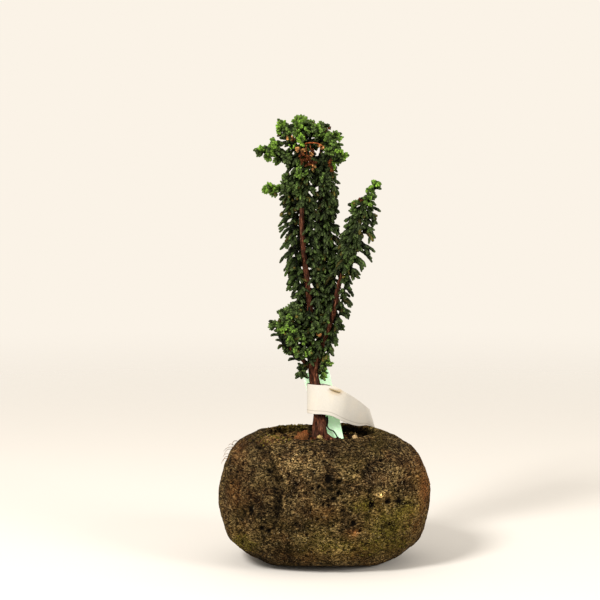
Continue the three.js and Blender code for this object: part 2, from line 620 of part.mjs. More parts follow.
/** Whether a point would hide the front leader's bare bark. */
function hidesBark(point) {
  if (point.z < BARE_BARK.low || point.z > BARE_BARK.high) return false;
  const stem = stemAt(STEMS.front, fractionAtHeight(STEMS.front, point.z)).point;
  return Math.abs(point.x - stem.x) < BARE_BARK.halfWidth && point.y < stem.y;
}

/** A twig that climbs beside its stem, with drooping cords: parabolas that leave nearly level. */
function leafyTwig(name, stem, [low, high, degrees, distance, shortest, longest], random) {
  const heading = headingOf(degrees);
  const count = Math.round((high - low) / TWIG.stretch);
  const points = Array.from({ length: count + 1 }, (_, i) => besideStem(stem,
    THREE.MathUtils.lerp(low, high, i / count), heading, ROOT_STAND + distance * Math.min(1, i / 2)));
  const lengthShare = { 3: 1, 0: CORD.sideways, 2: CORD.sideways, 1: CORD.inwards };
  const fingerAt = (where, draws, size, turn) => {
    const out = where.out.clone().setZ(0).normalize()
      .applyAxisAngle(UP, radians(CORD.turn * draws[0] + turn));
    const length = size * lengthShare[where.face] * (1 + CORD.vary * draws[1])
      * THREE.MathUtils.lerp(shortest, longest, where.share);
    const pathAt = (s) => where.middle.clone().addScaledVector(out, CORD.reach * length * s)
      .addScaledVector(UP, length * (CORD.rise * s - CORD.drop * s * s));
    const hidden = [BELLY_PLACE, 0.8, 1].some((s) => hidesBark(pathAt(s)));
    return { pathAt: hidden ? () => where.middle : pathAt, belly: CORD.belly };
  };
  return { name, finish: 'leaf', points, radius: TWIG.radius, across: heading, random, fingerAt };
}

/** A crested shoot: a cord that leaves outwards and bends up to its tip, with short fingers. */
function crestedShoot(name, [stem, height, reach], random) {
  const tip = vec(...reach);
  const end = vec(...STEMS[stem].at(-1));
  const atEnd = height > end.z;
  const base = atEnd ? end : stemAt(STEMS[stem], fractionAtHeight(STEMS[stem], height)).point;
  const lead = tip.clone().sub(base).normalize();
  const heading = lead.clone().setZ(0).normalize();
  const root = atEnd ? base.clone().addScaledVector(lead, 2 * GAP)
    : besideStem(stem, height, heading, ROOT_STAND);
  const span = tip.clone().sub(root);
  const bend = atEnd ? root.clone().addScaledVector(span, 0.5)
    : root.clone().addScaledVector(heading, SHOOT_BEND.out * Math.hypot(span.x, span.y))
      .addScaledVector(UP, SHOOT_BEND.up * span.z);
  const count = Math.round(THREE.MathUtils.clamp(span.length() / CREST.stretch, 5, 12));
  const points = new THREE.QuadraticBezierCurve3(root, bend, tip).getPoints(count);
  const across = span.clone().cross(UP).normalize();
  const fingerAt = (where, draws, size, turn) => {
    const splay = radians(CREST.splay + CREST.turn * draws[0]);
    const aim = where.lead.clone().multiplyScalar(Math.cos(splay))
      .addScaledVector(where.out, Math.sin(splay)).applyAxisAngle(where.lead, radians(turn));
    const length = size * CREST.finger * (1 + CREST.vary * draws[1]);
    return { pathAt: (s) => where.middle.clone().addScaledVector(aim, length * s), belly: CREST.belly };
  };
  return { name, finish: 'fresh', points, radius: CREST.radius, across, random, fingerAt };
}

/** A dead twig in the front of the crown, with a few curled brown fingers. */
function witheredSpray() {
  const points = WITHERED.map(([x, y, z]) => vec(x, y, z));
  const loft = cordLoft(points, WITHERED.map((p) => p[3]), vec(0, 1, 0));
  const { belly, place: swell, length, aim: [sideways, ahead, down], places } = WITHERED_FINGER;
  const fingers = places.map(([stretch, side]) => {
    const base = points[stretch].clone().lerp(points[stretch + 1], 0.5);
    const aim = vec(sideways * side, ahead * side, down).normalize();
    return { stretch, face: side > 0 ? 3 : 1, belly, base,
      middle: base.clone().addScaledVector(aim, swell), tip: base.clone().addScaledVector(aim, length) };
  });
  remember('withered_spray', points, WITHERED.map(() => 1.2));
  fingers.forEach(({ base, tip }) => remember('withered_spray', [base, tip], [0, belly]));
  return solid(cordGeometry(loft, fingers));
}

/** Every foliage node: all the cords first, then their fingers, each clear of what is there. */
function foliage() {
  for (const stem of Object.values(STEMS)) {
    const samples = Array.from({ length: 25 }, (_, k) => stemAt(stem, k / 24));
    remember('trunk', samples.map((s) => s.point), samples.map((s) => s.radius));
  }
  const shoots = SHOOTS.map((shoot, k) =>
    crestedShoot(`crested_shoot_${k + 1}`, shoot, randomFrom(SEED + 300 + k)));
  const twigs = Object.entries(TWIGS).flatMap(([stem, list], r) => list.map((twig, k) =>
    leafyTwig(`${stem}_sprays_${k + 1}`, stem, twig, randomFrom(SEED + 40 * r + k))));
  const cords = [...shoots, ...twigs];
  cords.forEach(({ name, points, radius }) => remember(name, points, cordRadii(points, radius)));
  return cords.map((cord) => ({ ...cord, body: leafyCord(cord) }));
}

// ---------------------------------------------------------------- assembly

const FINISHES = {
  stone: { color: 0x4a4232, roughness: 0.95, metalness: 0 },
  mesh: { color: 0x20221f, roughness: 0.6, metalness: 0 },
  soil: { color: 0x3b2b20, roughness: 1, metalness: 0 },
  bark: { color: 0x5a3428, roughness: 0.85, metalness: 0 },
  wire: { color: 0x2a2622, roughness: 0.5, metalness: 0.7 },
  label: { color: 0xbfe8cc, roughness: 0.45, metalness: 0 },
  paper: { color: 0xf4f0e8, roughness: 0.8, metalness: 0 },
  brass: { color: 0xb59a5a, roughness: 0.4, metalness: 0.8 },
  withered: { color: 0xa8623a, roughness: 0.9, metalness: 0 },
  leaf: { color: 0x2f4f2c, roughness: 0.7, metalness: 0 },
  fresh: { color: 0x5c9a38, roughness: 0.7, metalness: 0 },
};

const bonsai = new THREE.Group();
const finishes = Object.fromEntries(Object.entries(FINISHES).map(([name, look]) =>
  [name, new THREE.MeshStandardMaterial(look)]));

function place(name, body, finish) {
  const mesh = new THREE.Mesh(geometryOf(body), finishes[finish]);
  mesh.name = name;
  bonsai.add(mesh);
}

place('stone_pot', stonePot(), 'stone');
place('drain_mesh', drainMesh(), 'mesh');
place('soil', soilBed(), 'soil');
place('trunk', fuse(treeParts()), 'bark');
place('anchor_wire', wireRod(), 'wire');
place('plant_label', labelPlate(), 'label');
place('name_strip', paperStrip(), 'paper');
place('staple', staple(), 'brass');
place('withered_spray', witheredSpray(), 'withered');
foliage().forEach(({ name, body, finish }) => place(name, body, finish));

export default bonsai;
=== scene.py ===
"""A young hinoki cypress with cord-like crested foliage in a hollowed block of lava stone.

Here each of its pieces gets its finish, and the bark, stone, soil, paper and every leafy spray are built
again as fine surfaces in the same place. Lengths in this file are millimetres, and each mesh is written
in metres. Front is towards -Y.
"""
import math

import bpy
import numpy as np
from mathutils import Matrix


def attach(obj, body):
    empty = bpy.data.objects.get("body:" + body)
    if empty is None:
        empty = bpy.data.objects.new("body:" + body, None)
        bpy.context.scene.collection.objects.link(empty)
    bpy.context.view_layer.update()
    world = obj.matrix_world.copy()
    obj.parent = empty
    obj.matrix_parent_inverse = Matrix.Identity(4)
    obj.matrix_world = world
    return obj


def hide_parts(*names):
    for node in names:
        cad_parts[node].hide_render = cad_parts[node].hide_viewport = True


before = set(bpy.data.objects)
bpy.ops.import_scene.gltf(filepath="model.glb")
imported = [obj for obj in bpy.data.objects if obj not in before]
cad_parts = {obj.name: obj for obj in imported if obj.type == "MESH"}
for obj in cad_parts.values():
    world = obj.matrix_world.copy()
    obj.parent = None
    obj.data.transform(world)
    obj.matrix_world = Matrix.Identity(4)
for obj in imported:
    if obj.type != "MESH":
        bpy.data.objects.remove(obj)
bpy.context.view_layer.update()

MM = 0.001
UP = np.array([0.0, 0.0, 1.0])


def srgb(red, green, blue):
    """A colour given as it looks, 0 to 255, in linear light."""
    part = np.array([red, green, blue]) / 255
    return np.where(part <= 0.04045, part / 12.92, ((part + 0.055) / 1.055) ** 2.4)


# ---------------------------------------------------------------- camera, light and floor

CAMERA = {"x": -17.2, "y": -1530, "z": 337, "down": 5.7, "lens": 132}
LAMPS = (("key", (-0.9, -1.2, 1.3), 0.5, 46), ("fill", (1.3, -1.1, 0.7), 0.8, 21))  # place, size, watts
LAMPS_AIM = (0, 0, 0.15)  # this and the lamps' places and sizes are in metres
WARM = (1, 0.96, 0.9)
FLOOR_HALF = 2000.0
FLOOR_FADE = (0.35, 1.5)  # metres from the pot
CREAM = srgb(251, 243, 231)


def add_camera():
    """A camera in front of the tree, turned down by its own angle from level."""
    data = bpy.data.cameras.new("camera")
    data.lens = CAMERA["lens"]
    camera = bpy.data.objects.new("camera", data)
    camera.location = [CAMERA[k] * MM for k in "xyz"]
    camera.rotation_euler = (math.radians(90 - CAMERA["down"]), 0, 0)
    bpy.context.scene.collection.objects.link(camera)
    bpy.context.scene.camera = camera


def light_studio():
    """Round lamps turned to the tree, acos z/r from straight down and atan2 y, x round, in a cream room."""
    scene = bpy.context.scene
    scene.view_settings.view_transform = "Standard"
    world = bpy.data.worlds.new("studio")
    world.use_nodes = True
    background = world.node_tree.nodes["Background"]
    background.inputs["Color"].default_value = (*CREAM, 1)
    background.inputs["Strength"].default_value = 1.0
    scene.world = world
    for name, place, size, power in LAMPS:
        data = bpy.data.lights.new(name, "AREA")
        data.shape = "DISK"
        data.size, data.energy, data.color = size, power, WARM
        lamp = bpy.data.objects.new(name, data)
        away = np.array(place) - LAMPS_AIM
        lamp.location = place
        lamp.rotation_euler = (math.acos(away[2] / np.linalg.norm(away)), 0,
                               math.atan2(away[1], away[0]) + math.pi / 2)
        scene.collection.objects.link(lamp)


# ---------------------------------------------------------------- noise

def lattice(cell, seed):
    """A fixed number, 0 to 1, for each whole-number cell (..., 3): its coordinates stirred by products."""
    whole = cell.astype(np.int64).astype(np.uint64) & np.uint64(0xFFFFFFFF)
    stirred = (whole[..., 0] * np.uint64(73856093)) ^ (whole[..., 1] * np.uint64(19349663))
    stirred ^= (whole[..., 2] * np.uint64(83492791)) ^ np.uint64(seed * 2654435761)
    stirred &= np.uint64(0xFFFFFFFF)
    stirred = ((stirred ^ (stirred >> np.uint64(13))) * np.uint64(1274126177)) & np.uint64(0xFFFFFFFF)
    stirred ^= stirred >> np.uint64(16)
    return stirred.astype(float) / 4294967295


CORNERS, AROUND = ([np.array([i, j, k]) for i in steps for j in steps for k in steps]
                   for steps in ((0, 1), (-1, 0, 1)))


def noise(place, size, seed):
    """Smooth noise, -1 to 1: lattice numbers at cell corners, blended by 3t^2 - 2t^3 along each axis."""
    scaled = place / size
    cell = np.floor(scaled)
    share = scaled - cell
    share = share * share * (3 - 2 * share)
    total = 0
    for corner in CORNERS:
        weight = np.prod(np.where(corner == 1, share, 1 - share), axis=-1)
        total = total + weight * lattice(cell + corner, seed)
    return 2 * total - 1


def layered(place, size, seed, layers=4):
    """Noise in layers, each half the size and weight of the one before."""
    return sum(noise(place, size / 2 ** k, seed + k) / 2 ** k for k in range(layers)) / 1.6


def bell(*ratios):
    """A bell curve, exp(-(a^2 + b^2 ...)), of distances given in widths."""
    return np.exp(-sum(ratio ** 2 for ratio in ratios))


def band(value, low, rise, high, fall):
    """0 up to one level and 1 after a straight rise, and back to 0 over a fall that ends at another."""
    return np.clip((value - low) / rise, 0, 1) * np.clip((high - value) / fall, 0, 1)


def pores(place, size, share, seed):
    """Depth under round bubbles: one in each cell at a jittered place, sqrt(r^2 - d^2) where it opens."""
    cell = np.floor(place / size)
    deepest = np.zeros(place.shape[:-1])
    for step in AROUND:
        near = cell + step
        centre = np.stack([lattice(near, seed + k) for k in range(3)], axis=-1)
        away = np.linalg.norm(place - (near + 0.15 + 0.7 * centre) * size, axis=-1)
        radius = size * (0.16 + 0.34 * lattice(near, seed + 3)) * (lattice(near, seed + 4) < share)
        deepest = np.maximum(deepest, np.sqrt(np.maximum(radius ** 2 - away ** 2, 0)))
    return deepest


# ---------------------------------------------------------------- meshes

def add_mesh(name, vertices, faces, attributes=None):
    """An object from points in mm and faces as index arrays, with named colours or numbers per point."""
    mesh = bpy.data.meshes.new(name)
    mesh.from_pydata((vertices * MM).tolist(), [], [f for part in faces for f in part.tolist()])
    for key, values in (attributes or {}).items():
        if values.ndim == 1:
            mesh.attributes.new(key, "FLOAT", "POINT").data.foreach_set("value", values.astype(np.float32))
        else:
            rgba = np.concatenate([values, np.ones((len(values), 1))], axis=1).astype(np.float32)
            mesh.attributes.new(key, "FLOAT_COLOR", "POINT").data.foreach_set("color", rgba.ravel())
    mesh.polygons.foreach_set("use_smooth", np.ones(len(mesh.polygons), bool))
    mesh.update()
    piece = bpy.data.objects.new(name, mesh)
    bpy.context.scene.collection.objects.link(piece)
    return piece


def finish_piece(piece, material, nodes):
    """The piece's finish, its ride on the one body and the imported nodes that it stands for."""
    piece.data.materials.append(material)
    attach(piece, "root")
    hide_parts(*nodes)


def grid_faces(rows, columns, start=0):
    """Quads of a grid that closes round in its columns: each row's point to the next, one row up."""
    row, column = np.meshgrid(np.arange(rows - 1), np.arange(columns), indexing="ij")
    after = (column + 1) % columns
    low, high = start + row * columns, start + (row + 1) * columns
    return np.stack([low + column, low + after, high + after, high + column], axis=-1).reshape(-1, 4)


def fan_faces(ring, pole, columns, flip=False):
    """Triangles from one ring of points to a pole."""
    column = np.arange(columns)
    after = (column + 1) % columns
    ends = (after, column) if flip else (column, after)
    return np.stack([ring + ends[0], ring + ends[1], np.full(columns, pole)], axis=-1)


def closed_faces(rows, columns, copies=1):
    """Faces of grids of rings whose two poles come after the rings, for so many copies in a row."""
    count = rows * columns
    one = [grid_faces(rows, columns), fan_faces(0, count, columns, flip=True),
           fan_faces(count - columns, count + 1, columns)]
    starts = (np.arange(copies) * (count + 2))[:, None, None]
    return [(part[None] + starts).reshape(-1, part.shape[1]) for part in one]


def closed_grid(points):
    """Points and faces of rings (rows, columns, 3) closed by a pole in the middle of each end."""
    poles = np.stack([points[0].mean(axis=0), points[-1].mean(axis=0)])
    return np.concatenate([points.reshape(-1, 3), poles]), closed_faces(*points.shape[:2])


def unit(vectors):
    """Vectors divided by their lengths."""
    return vectors / (np.linalg.norm(vectors, axis=-1, keepdims=True) + 1e-9)


def turns_round(columns):
    """Evenly spaced angles of one full turn."""
    return np.arange(columns) * 2 * np.pi / columns


def length_along(path):
    """Length of a path up to each of its points."""
    return np.concatenate([[0], np.cumsum(np.linalg.norm(np.diff(path, axis=0), axis=1))])


def bent_path(start, bend, end, count):
    """Points of a parabola from start to end, drawn towards a bend."""
    t = np.linspace(0, 1, count)[:, None]
    return (1 - t) ** 2 * start + 2 * t * (1 - t) * bend + t ** 2 * end


def frames_along(path, guide):
    """Unit side and other direction at each point of a path: the guide less its part along the path."""
    tangent = np.gradient(path, axis=0)
    tangent /= np.linalg.norm(tangent, axis=1, keepdims=True)
    side = guide - (tangent @ guide)[:, None] * tangent
    side /= np.linalg.norm(side, axis=1, keepdims=True)
    return side, np.cross(tangent, side)


BACKWARDS = np.array([0, 1.0, 0])


def tube_grid(path, radius, columns, guide=BACKWARDS):
    """Rings round a path: centre + radius (side cos a + other sin a); radius may vary over the grid."""
    side, other = frames_along(path, guide)
    angle = turns_round(columns)
    radius = np.broadcast_to(np.asarray(radius, float).reshape(len(path), -1), (len(path), columns))
    spoke = side[:, None] * np.cos(angle)[:, None] + other[:, None] * np.sin(angle)[:, None]
    return path[:, None] + spoke * radius[..., None]


def join_parts(parts):
    """Several (vertices, faces) in one, with the faces' numbers moved on."""
    vertices, faces, start = [], [], 0
    for points, some in parts:
        vertices.append(points)
        faces += [f + start for f in some]
        start += len(points)
    return np.concatenate(vertices), faces


def curve_through(points, count):
    """The part's own smooth curve: cubic between points, its speed there from the root of the gaps."""
    points = np.asarray(points, float)
    return curve_at(points, np.linspace(0, len(points) - 1, count))


def curve_at(points, place):
    """Points of that curve at places counted in points, 0 at the first."""
    extended = np.concatenate([[2 * points[0] - points[1]], points, [2 * points[-1] - points[-2]]])
    i = np.clip(np.floor(place).astype(int), 0, len(points) - 2)
    w = (place - i)[:, None]
    p0, p1, p2, p3 = (extended[i + k] for k in range(4))
    gap = [np.sqrt(np.linalg.norm(b - a, axis=1))[:, None] for a, b in ((p0, p1), (p1, p2), (p2, p3))]
    t1 = ((p1 - p0) / gap[0] - (p2 - p0) / (gap[0] + gap[1])) * gap[1] + (p2 - p1)
    t2 = (p2 - p1) + ((p3 - p2) / gap[2] - (p3 - p1) / (gap[1] + gap[2])) * gap[1]
    return p1 + t1 * w + (3 * (p2 - p1) - 2 * t1 - t2) * w ** 2 + (2 * (p1 - p2) + t1 + t2) * w ** 3


# ---------------------------------------------------------------- materials

def feed(socket, value):
    """What an input gets: a link from another socket, a colour, three numbers or one number."""
    if isinstance(value, bpy.types.NodeSocket):
        socket.id_data.links.new(value, socket)
    elif np.ndim(value):
        socket.default_value = (*value, 1) if socket.type == "RGBA" else value
    else:
        socket.default_value = value if socket.type == "VALUE" else (value, value, value, 1)


class Finish:
    """A surface shader and the few kinds of node that the finishes are made of."""

    def __init__(self, name, roughness, specular):
        self.material = bpy.data.materials.new(name)
        self.material.use_nodes = True
        self.tree = self.material.node_tree
        self.shader = self.tree.nodes["Principled BSDF"]
        self.set(Roughness=roughness, Specular_IOR_Level=specular)

    def set(self, **inputs):
        """Values of the shader's own inputs, with _ for each space in their names."""
        for key, value in inputs.items():
            feed(self.shader.inputs[key.replace("_", " ")], value)

    def node(self, kind, output, inputs, **settings):
        """One output of a new node, after its settings and its inputs."""
        node = self.tree.nodes.new("ShaderNode" + kind)
        for key, value in settings.items():
            setattr(node, key, value)
        for key, value in inputs.items():
            feed(node.inputs[key], value)
        return node.outputs[output]

    def coords(self):
        """Object coordinates, which stay with the piece."""
        return self.node("TexCoord", "Object", {})

    def attribute(self, name, output="Fac"):
        """A number or colour kept with the mesh."""
        return self.node("Attribute", output, {}, attribute_name=name)

    def noise(self, size_mm, detail=4, rough=0.6, stretch=None, swirl=0.0):
        """Noise whose lumps are about that many mm across, stretched or swirled on request."""
        coords = self.coords()
        if stretch:
            coords = self.node("Mapping", "Vector", {"Vector": coords, "Scale": stretch})
        return self.node("TexNoise", "Fac", {"Vector": coords, "Scale": 1 / (size_mm * MM),
                                             "Detail": detail, "Roughness": rough, "Distortion": swirl})

    def bubbles(self, size_mm):
        """Distance to the nearest of scattered points, about that many mm apart."""
        return self.node("TexVoronoi", "Distance", {"Vector": self.coords(), "Scale": 1 / (size_mm * MM)})

    def math(self, operation, a, b):
        """Two numbers multiplied or added."""
        return self.node("Math", "Value", {0: a, 1: b}, operation=operation)

    def ramp(self, source, *stops):
        """Colours, or grey levels, at places from 0 to 1."""
        ramp = self.tree.nodes.new("ShaderNodeValToRGB")
        elements = ramp.color_ramp.elements
        while len(elements) < len(stops):
            elements.new(0.5)
        for element, (place, color) in zip(elements, stops):
            element.position = place
            element.color = (*color, 1) if np.ndim(color) else (color, color, color, 1)
        feed(ramp.inputs["Fac"], source)
        return ramp.outputs["Color"]

    def mix(self, factor, a, b, blend="MIX"):
        """One colour into another by a factor."""
        mix = self.tree.nodes.new("ShaderNodeMix")
        mix.data_type, mix.blend_type, mix.clamp_factor = "RGBA", blend, True
        for socket, value in zip([s for s in mix.inputs if s.enabled], (factor, a, b)):
            feed(socket, value)
        return next(s for s in mix.outputs if s.enabled)

    def times(self, base, source, *stops, share=1.0):
        """A colour multiplied by the grey levels of a ramp."""
        return self.mix(share, base, self.ramp(source, *stops), "MULTIPLY")

    def done(self, base, height, depth_mm):
        """The material, with its colour and a bump of that height field and depth."""
        bump = self.node("Bump", "Normal", {"Strength": 1.0, "Distance": depth_mm * MM, "Height": height})
        self.set(Base_Color=base, Normal=bump)
        return self.material


def stone_finish():
    """Dark porous lava: brown and grey patches, pale crystals, moss and rust, with painted shade that
    blackens its pores, crack and fold.
    """
    coat = Finish("porous_lava", 0.97, 0.03)
    base = coat.ramp(coat.noise(16, 5, 0.65), (0.32, srgb(41, 32, 20)), (0.46, srgb(72, 56, 34)),
                     (0.56, srgb(95, 79, 50)), (0.72, srgb(61, 45, 27)))
    grain = coat.noise(2.1, 6, 0.88, (1, 1, 1.6), 0.7)
    strokes = coat.noise(3.6, 5, 0.75, (1, 1, 2.2), 2.2)
    base = coat.times(base, coat.noise(8, swirl=1.0), (0.38, 0.56), (0.5, 0.84), (0.62, 1.14))
    base = coat.times(base, grain, (0.42, 0.0), (0.5, 0.36), (0.605, 3.1))
    base = coat.times(base, strokes, (0.36, 0.1), (0.5, 0.84), (0.65, 2.3))
    # painted shade: small dark spots for the shadow in small pits
    base = coat.times(base, coat.bubbles(3.1), (0.12, 0.03), (0.3, 1.0))
    patchy = coat.ramp(strokes, (0.40, 0.0), (0.6, 1.0))
    for cover, dark, light in (("moss", srgb(16, 18, 5), srgb(140, 128, 46)),
                               ("rust", srgb(32, 14, 8), srgb(160, 104, 56))):
        share = coat.math("MULTIPLY", coat.attribute(cover), patchy)
        base = coat.mix(share, base, coat.ramp(grain, (0.40, dark), (0.62, light)))
    specks = coat.ramp(coat.noise(0.9, 2, 0.5), (0.69, 0.0), (0.74, 0.8))
    base = coat.mix(specks, base, srgb(190, 172, 134))
    # the tone, with its painted highlight and painted shade
    base = coat.mix(1.0, base, coat.attribute("tone", "Color"), "MULTIPLY")
    # painted shade: black in the holes, the crack and the fold's line
    base = coat.mix(coat.attribute("painted_recess_shade"), base, srgb(8, 6, 4))
    return coat.done(base, coat.math("ADD", coat.math("MULTIPLY", coat.bubbles(1.3), 0.7), grain), 1.0)


def soil_finish():
    """Baked clay and pumice grains: each grain's own colour, mottled."""
    coat = Finish("grain_soil", 0.97, 0.02)
    base = coat.times(coat.attribute("tint", "Color"), coat.noise(0.8, 4, 0.7), (0.38, 0.2), (0.62, 1.25))
    return coat.done(base, coat.noise(0.6, 4, 0.7), 0.4)


def bark_finish():
    """Red-brown bark in long thin strips, with grey flakes, dark fissures and one pale cut."""
    coat = Finish("stringy_bark", 0.9, 0.04)
    strips = coat.noise(1.1, 5, 0.7, (1, 1, 0.16))
    base = coat.ramp(strips, (0.34, srgb(10, 7, 5)), (0.47, srgb(45, 24, 16)), (0.57, srgb(86, 48, 33)),
                     (0.69, srgb(158, 112, 82)))
    base = coat.mix(coat.ramp(coat.noise(6), (0.5, 0.0), (0.66, 0.55)), base, srgb(74, 50, 40))
    base = coat.mix(coat.attribute("fissure"), base, srgb(18, 9, 7))
    base = coat.mix(coat.attribute("cut"), base, srgb(206, 148, 88))
    return coat.done(base, strips, 0.35)


def foliage_finish():
    """Scale-covered cords: the tint of each finger, with a painted highlight on every scale and painted shade
    between them, mottled.
    """
    coat = Finish("scale_cords", 0.5, 0.06)
    scales = coat.bubbles(0.8)
    # painted highlight on each scale, painted shade between the scales
    base = coat.times(coat.attribute("tint", "Color"), scales, (0.0, 1.3), (0.35, 1.0), (0.75, 0.4))
    base = coat.times(base, coat.noise(2.2, 3), (0.34, 0.45), (0.66, 1.6), share=0.8)
    return coat.done(base, scales, -0.25)


def paper_finish():
    """Bare matt paper: a faint grain, a stain round the staple, one thin ruled line."""
    coat = Finish("bare_paper", 0.75, 0.25)
    base = coat.ramp(coat.noise(0.5, 3), (0.3, srgb(176, 172, 164)), (0.7, srgb(190, 186, 178)))
    base = coat.mix(coat.ramp(coat.noise(14, 3), (0.45, 0.0), (0.75, 0.35)), base, srgb(206, 192, 170))
    base = coat.mix(coat.attribute("stain"), base, srgb(164, 138, 92))
    base = coat.mix(coat.attribute("line"), base, srgb(122, 116, 106))
    return coat.done(base, coat.noise(0.35, 3), 0.04)


def label_finish():
    """Pale mint plastic that lets some light through, with a painted glow that brightens it in the shade."""
    coat = Finish("mint_plastic", 0.35, 0.5)
    # painted light: a faint glow that brightens the plastic where it lies in shade
    coat.set(Subsurface_Weight=0.3, Subsurface_Radius=(0.001, 0.002, 0.001), Subsurface_Scale=1.0,
             Emission_Color=srgb(190, 238, 178), Emission_Strength=0.26)
    cloud = coat.ramp(coat.noise(9, 3), (0.3, srgb(204, 244, 208)), (0.7, srgb(220, 250, 224)))
    return coat.done(cloud, coat.noise(0.7, 3), 0.03)


def plain_finish(name, dark, light, roughness, metallic=0.0):
    """Wire, mesh or staple: one colour with faint mottling."""
    coat = Finish(name, roughness, 0.4)
    coat.set(Metallic=metallic)
    return coat.done(coat.ramp(coat.noise(1.2), (0.35, dark), (0.65, light)), coat.noise(0.4, 3), 0.05)


def floor_finish():
    """Pale floor that fades into the studio with distance from the middle."""
    coat = Finish("pale_floor", 0.9, 0.1)
    coat.set(Base_Color=srgb(207, 204, 200))
    away = coat.node("VectorMath", "Value", {0: coat.coords()}, operation="LENGTH")
    near, far = FLOOR_FADE
    fade = coat.node("MapRange", "Result", {"Value": away, "From Min": near, "From Max": far},
                     interpolation_type="SMOOTHSTEP")
    clear = coat.node("BsdfTransparent", "BSDF", {})
    mixed = coat.node("MixShader", "Shader", {0: fade, 1: coat.shader.outputs["BSDF"], 2: clear})
    feed(coat.tree.nodes["Material Output"].inputs["Surface"], mixed)
    return coat.material


# ---------------------------------------------------------------- stone

STONE = {"half_width": 75, "half_depth": 63, "middle": 44, "low_half": 50, "top_half": 51.5,
         "plan_power": 2.25, "low_power": 2.3, "top_power": 2.8, "tilt": 0.03}
HOLLOW = {"x": -3.5, "y": 3.5, "mouth": 38.5, "crest": 2.6, "floor": 24, "drain": 7}
WALL = ((62, 38.2), (44, 36.5), (30, 31), (HOLLOW["floor"], 25))
SOIL = {"level": 84, "mound": 3, "mound_x": -22, "mound_y": -4, "mound_spread": 22}
# On the left of the front: heights and x of a fold's foot, a slanting channel that ends in it, and a
# low bulge. On the right: a crack. Levels, widths and depths are in mm.
# The fold's pores is the width of its painted black line, standing in for shade; lit_at and lit_width place a
# painted highlight on its lit side.
FOLD = {"level": (30, 36, 50, 66.7, 81, 90), "x": (-36, -34.2, -30.8, -29.4, -37.7, -40),
        "ends": (30, 6, 92, 6), "width": 1.7, "depth": 1.9, "pores": 0.8, "lit_at": 2.6, "lit_width": 1.4}
CHANNEL = {"x": -45, "slope": 0.5, "top": 90, "ends": (52, 8, 94, 6), "width": 3.2, "depth": 2.6}
BULGE = {"x": -62, "level": 22, "wide": 16, "tall": 12, "height": 2.6, "reach": 20}
CRACK = {"x": 48, "level": 52, "slope": 0.3, "ends": (44, 3, 67, 5), "width": 0.7, "depth": 1.5, "wave": 0.7}
PIT = {"depth": 2.4, "sharpness": 1.25}
BUBBLES = ((7, 0.12, 21, 0.6, 1), (3.6, 0.45, 31, 0.8, 1), (2.2, 0.7, 41, 0.8, 1.3))  # size, share, seed,
# depth and flatness of each kind of bubble hole
LUMP = {"depth": 1.7, "size": 13}
KNOB = {"depth": 0.9, "size": 4.2}
GRIT = {"depth": 0.6, "size": 2}
SWELL = {"height": 1.1, "x": 72, "x_fade": 6, "y": 60, "y_fade": 5}  # what the roughness takes, given back
UNDERCUT = {"y": -19, "slope": 0.2, "level": 30}  # the underside rises from the floor towards the front
BLACK = {"from": 0.45, "over": 0.9, "fold": 0.75}  # painted shade: depth at which a hole starts to be painted black, and how black the fold's line is painted
MOSSY_LIP = {"x": -33, "y": -24, "wide": 13, "deep": 9, "above": 88}
FRONT_PITS = (  # x, height and radius of the large holes in the front
    (1.4, 68.6, 2.5), (9, 66.8, 1.8), (-4.6, 63.9, 1.6), (-9, 62.9, 1.6), (9, 58.8, 1.6), (5.5, 55.2, 1.8),
    (2.2, 50.7, 1.4), (-1.2, 51.8, 1.4), (12, 46.7, 1.6), (31.9, 50, 2.5), (42.4, 51.8, 2.0),
    (44.5, 35.9, 1.9), (41, 34, 1.2), (37.8, 79.2, 1.2), (-39, 72.5, 1.5), (-5.6, 40.4, 1.3),
    (-10.2, 47.2, 1.2), (-44, 33, 1.9), (-38.8, 31.5, 1.8), (-57, 75.5, 1.2), (-66, 33, 1.0), (22, 74, 1.0),
    (-20, 38, 1.2), (-14, 59, 1.0), (17, 64, 0.9), (24, 32, 1.0), (-30, 46, 1.0), (55, 64, 1.1),
    (-56, 22, 1.2), (14, 52, 1.1), (-46, 87, 1.3))
STAINS_AND_PAINTED_LIGHT = {  # x, height, half width, half height and strength of each patch on the front: moss and rust are the stone's own colour, the pale and dark patches partly its colour and partly painted highlight and painted shade
    "pale": ((-20, 80, 15, 6, 1.0), (-41, 94, 4.5, 1.6, 1.2), (-27, 71, 8, 8, 0.6), (38, 56.6, 1.3, 1.6, 8),
             (-46, 93, 8, 3, 0.7), (-62, 80, 8, 8, 0.4), (47, 67, 14, 10, 0.35), (10, 22, 34, 7, 0.35),
             (20, 31, 4, 3, 0.9), (66, 54, 9, 22, 0.35)),
    "dark": ((-36, 46, 13, 26, 0.72), (-32.5, 50, 3.4, 22, 1.05), (-41, 34, 4, 8, 1.0),
             (-52, 60, 16, 30, 0.4), (-45, 87, 4, 6, 0.8), (-36, 74, 3.5, 9, 0.8), (-9, 91, 40, 6, 0.4),
             (30, 85, 26, 8, 0.4), (2, 60, 13, 9, 0.4), (-68, 50, 5, 22, 0.4), (-30, 18, 12, 7, 0.45),
             (52, 57, 12, 3, 0.35)),
    "moss": ((55, 44, 10, 7, 0.85), (44, 37, 18, 12, 0.6), (27, 49, 9, 5, 0.6), (-54, 21, 8, 5, 0.7),
             (10, 20, 30, 9, 0.45), (35, 20, 22, 9, 0.5)),
    "rust": ((-64, 54, 5, 10, 0.6), (70, 57, 7, 17, 0.8), (20, 31, 4, 3, 1.0), (-60, 80, 6, 6, 0.4),
             (0, 14, 40, 5, 0.2), (62, 30, 8, 10, 0.4), (0, 46, 8, 6, 0.4), (64, 72, 9, 9, 0.35)),
}
GROOVE = {"x": -32, "width": 5, "depth": 2, "low": 14, "high": 66}
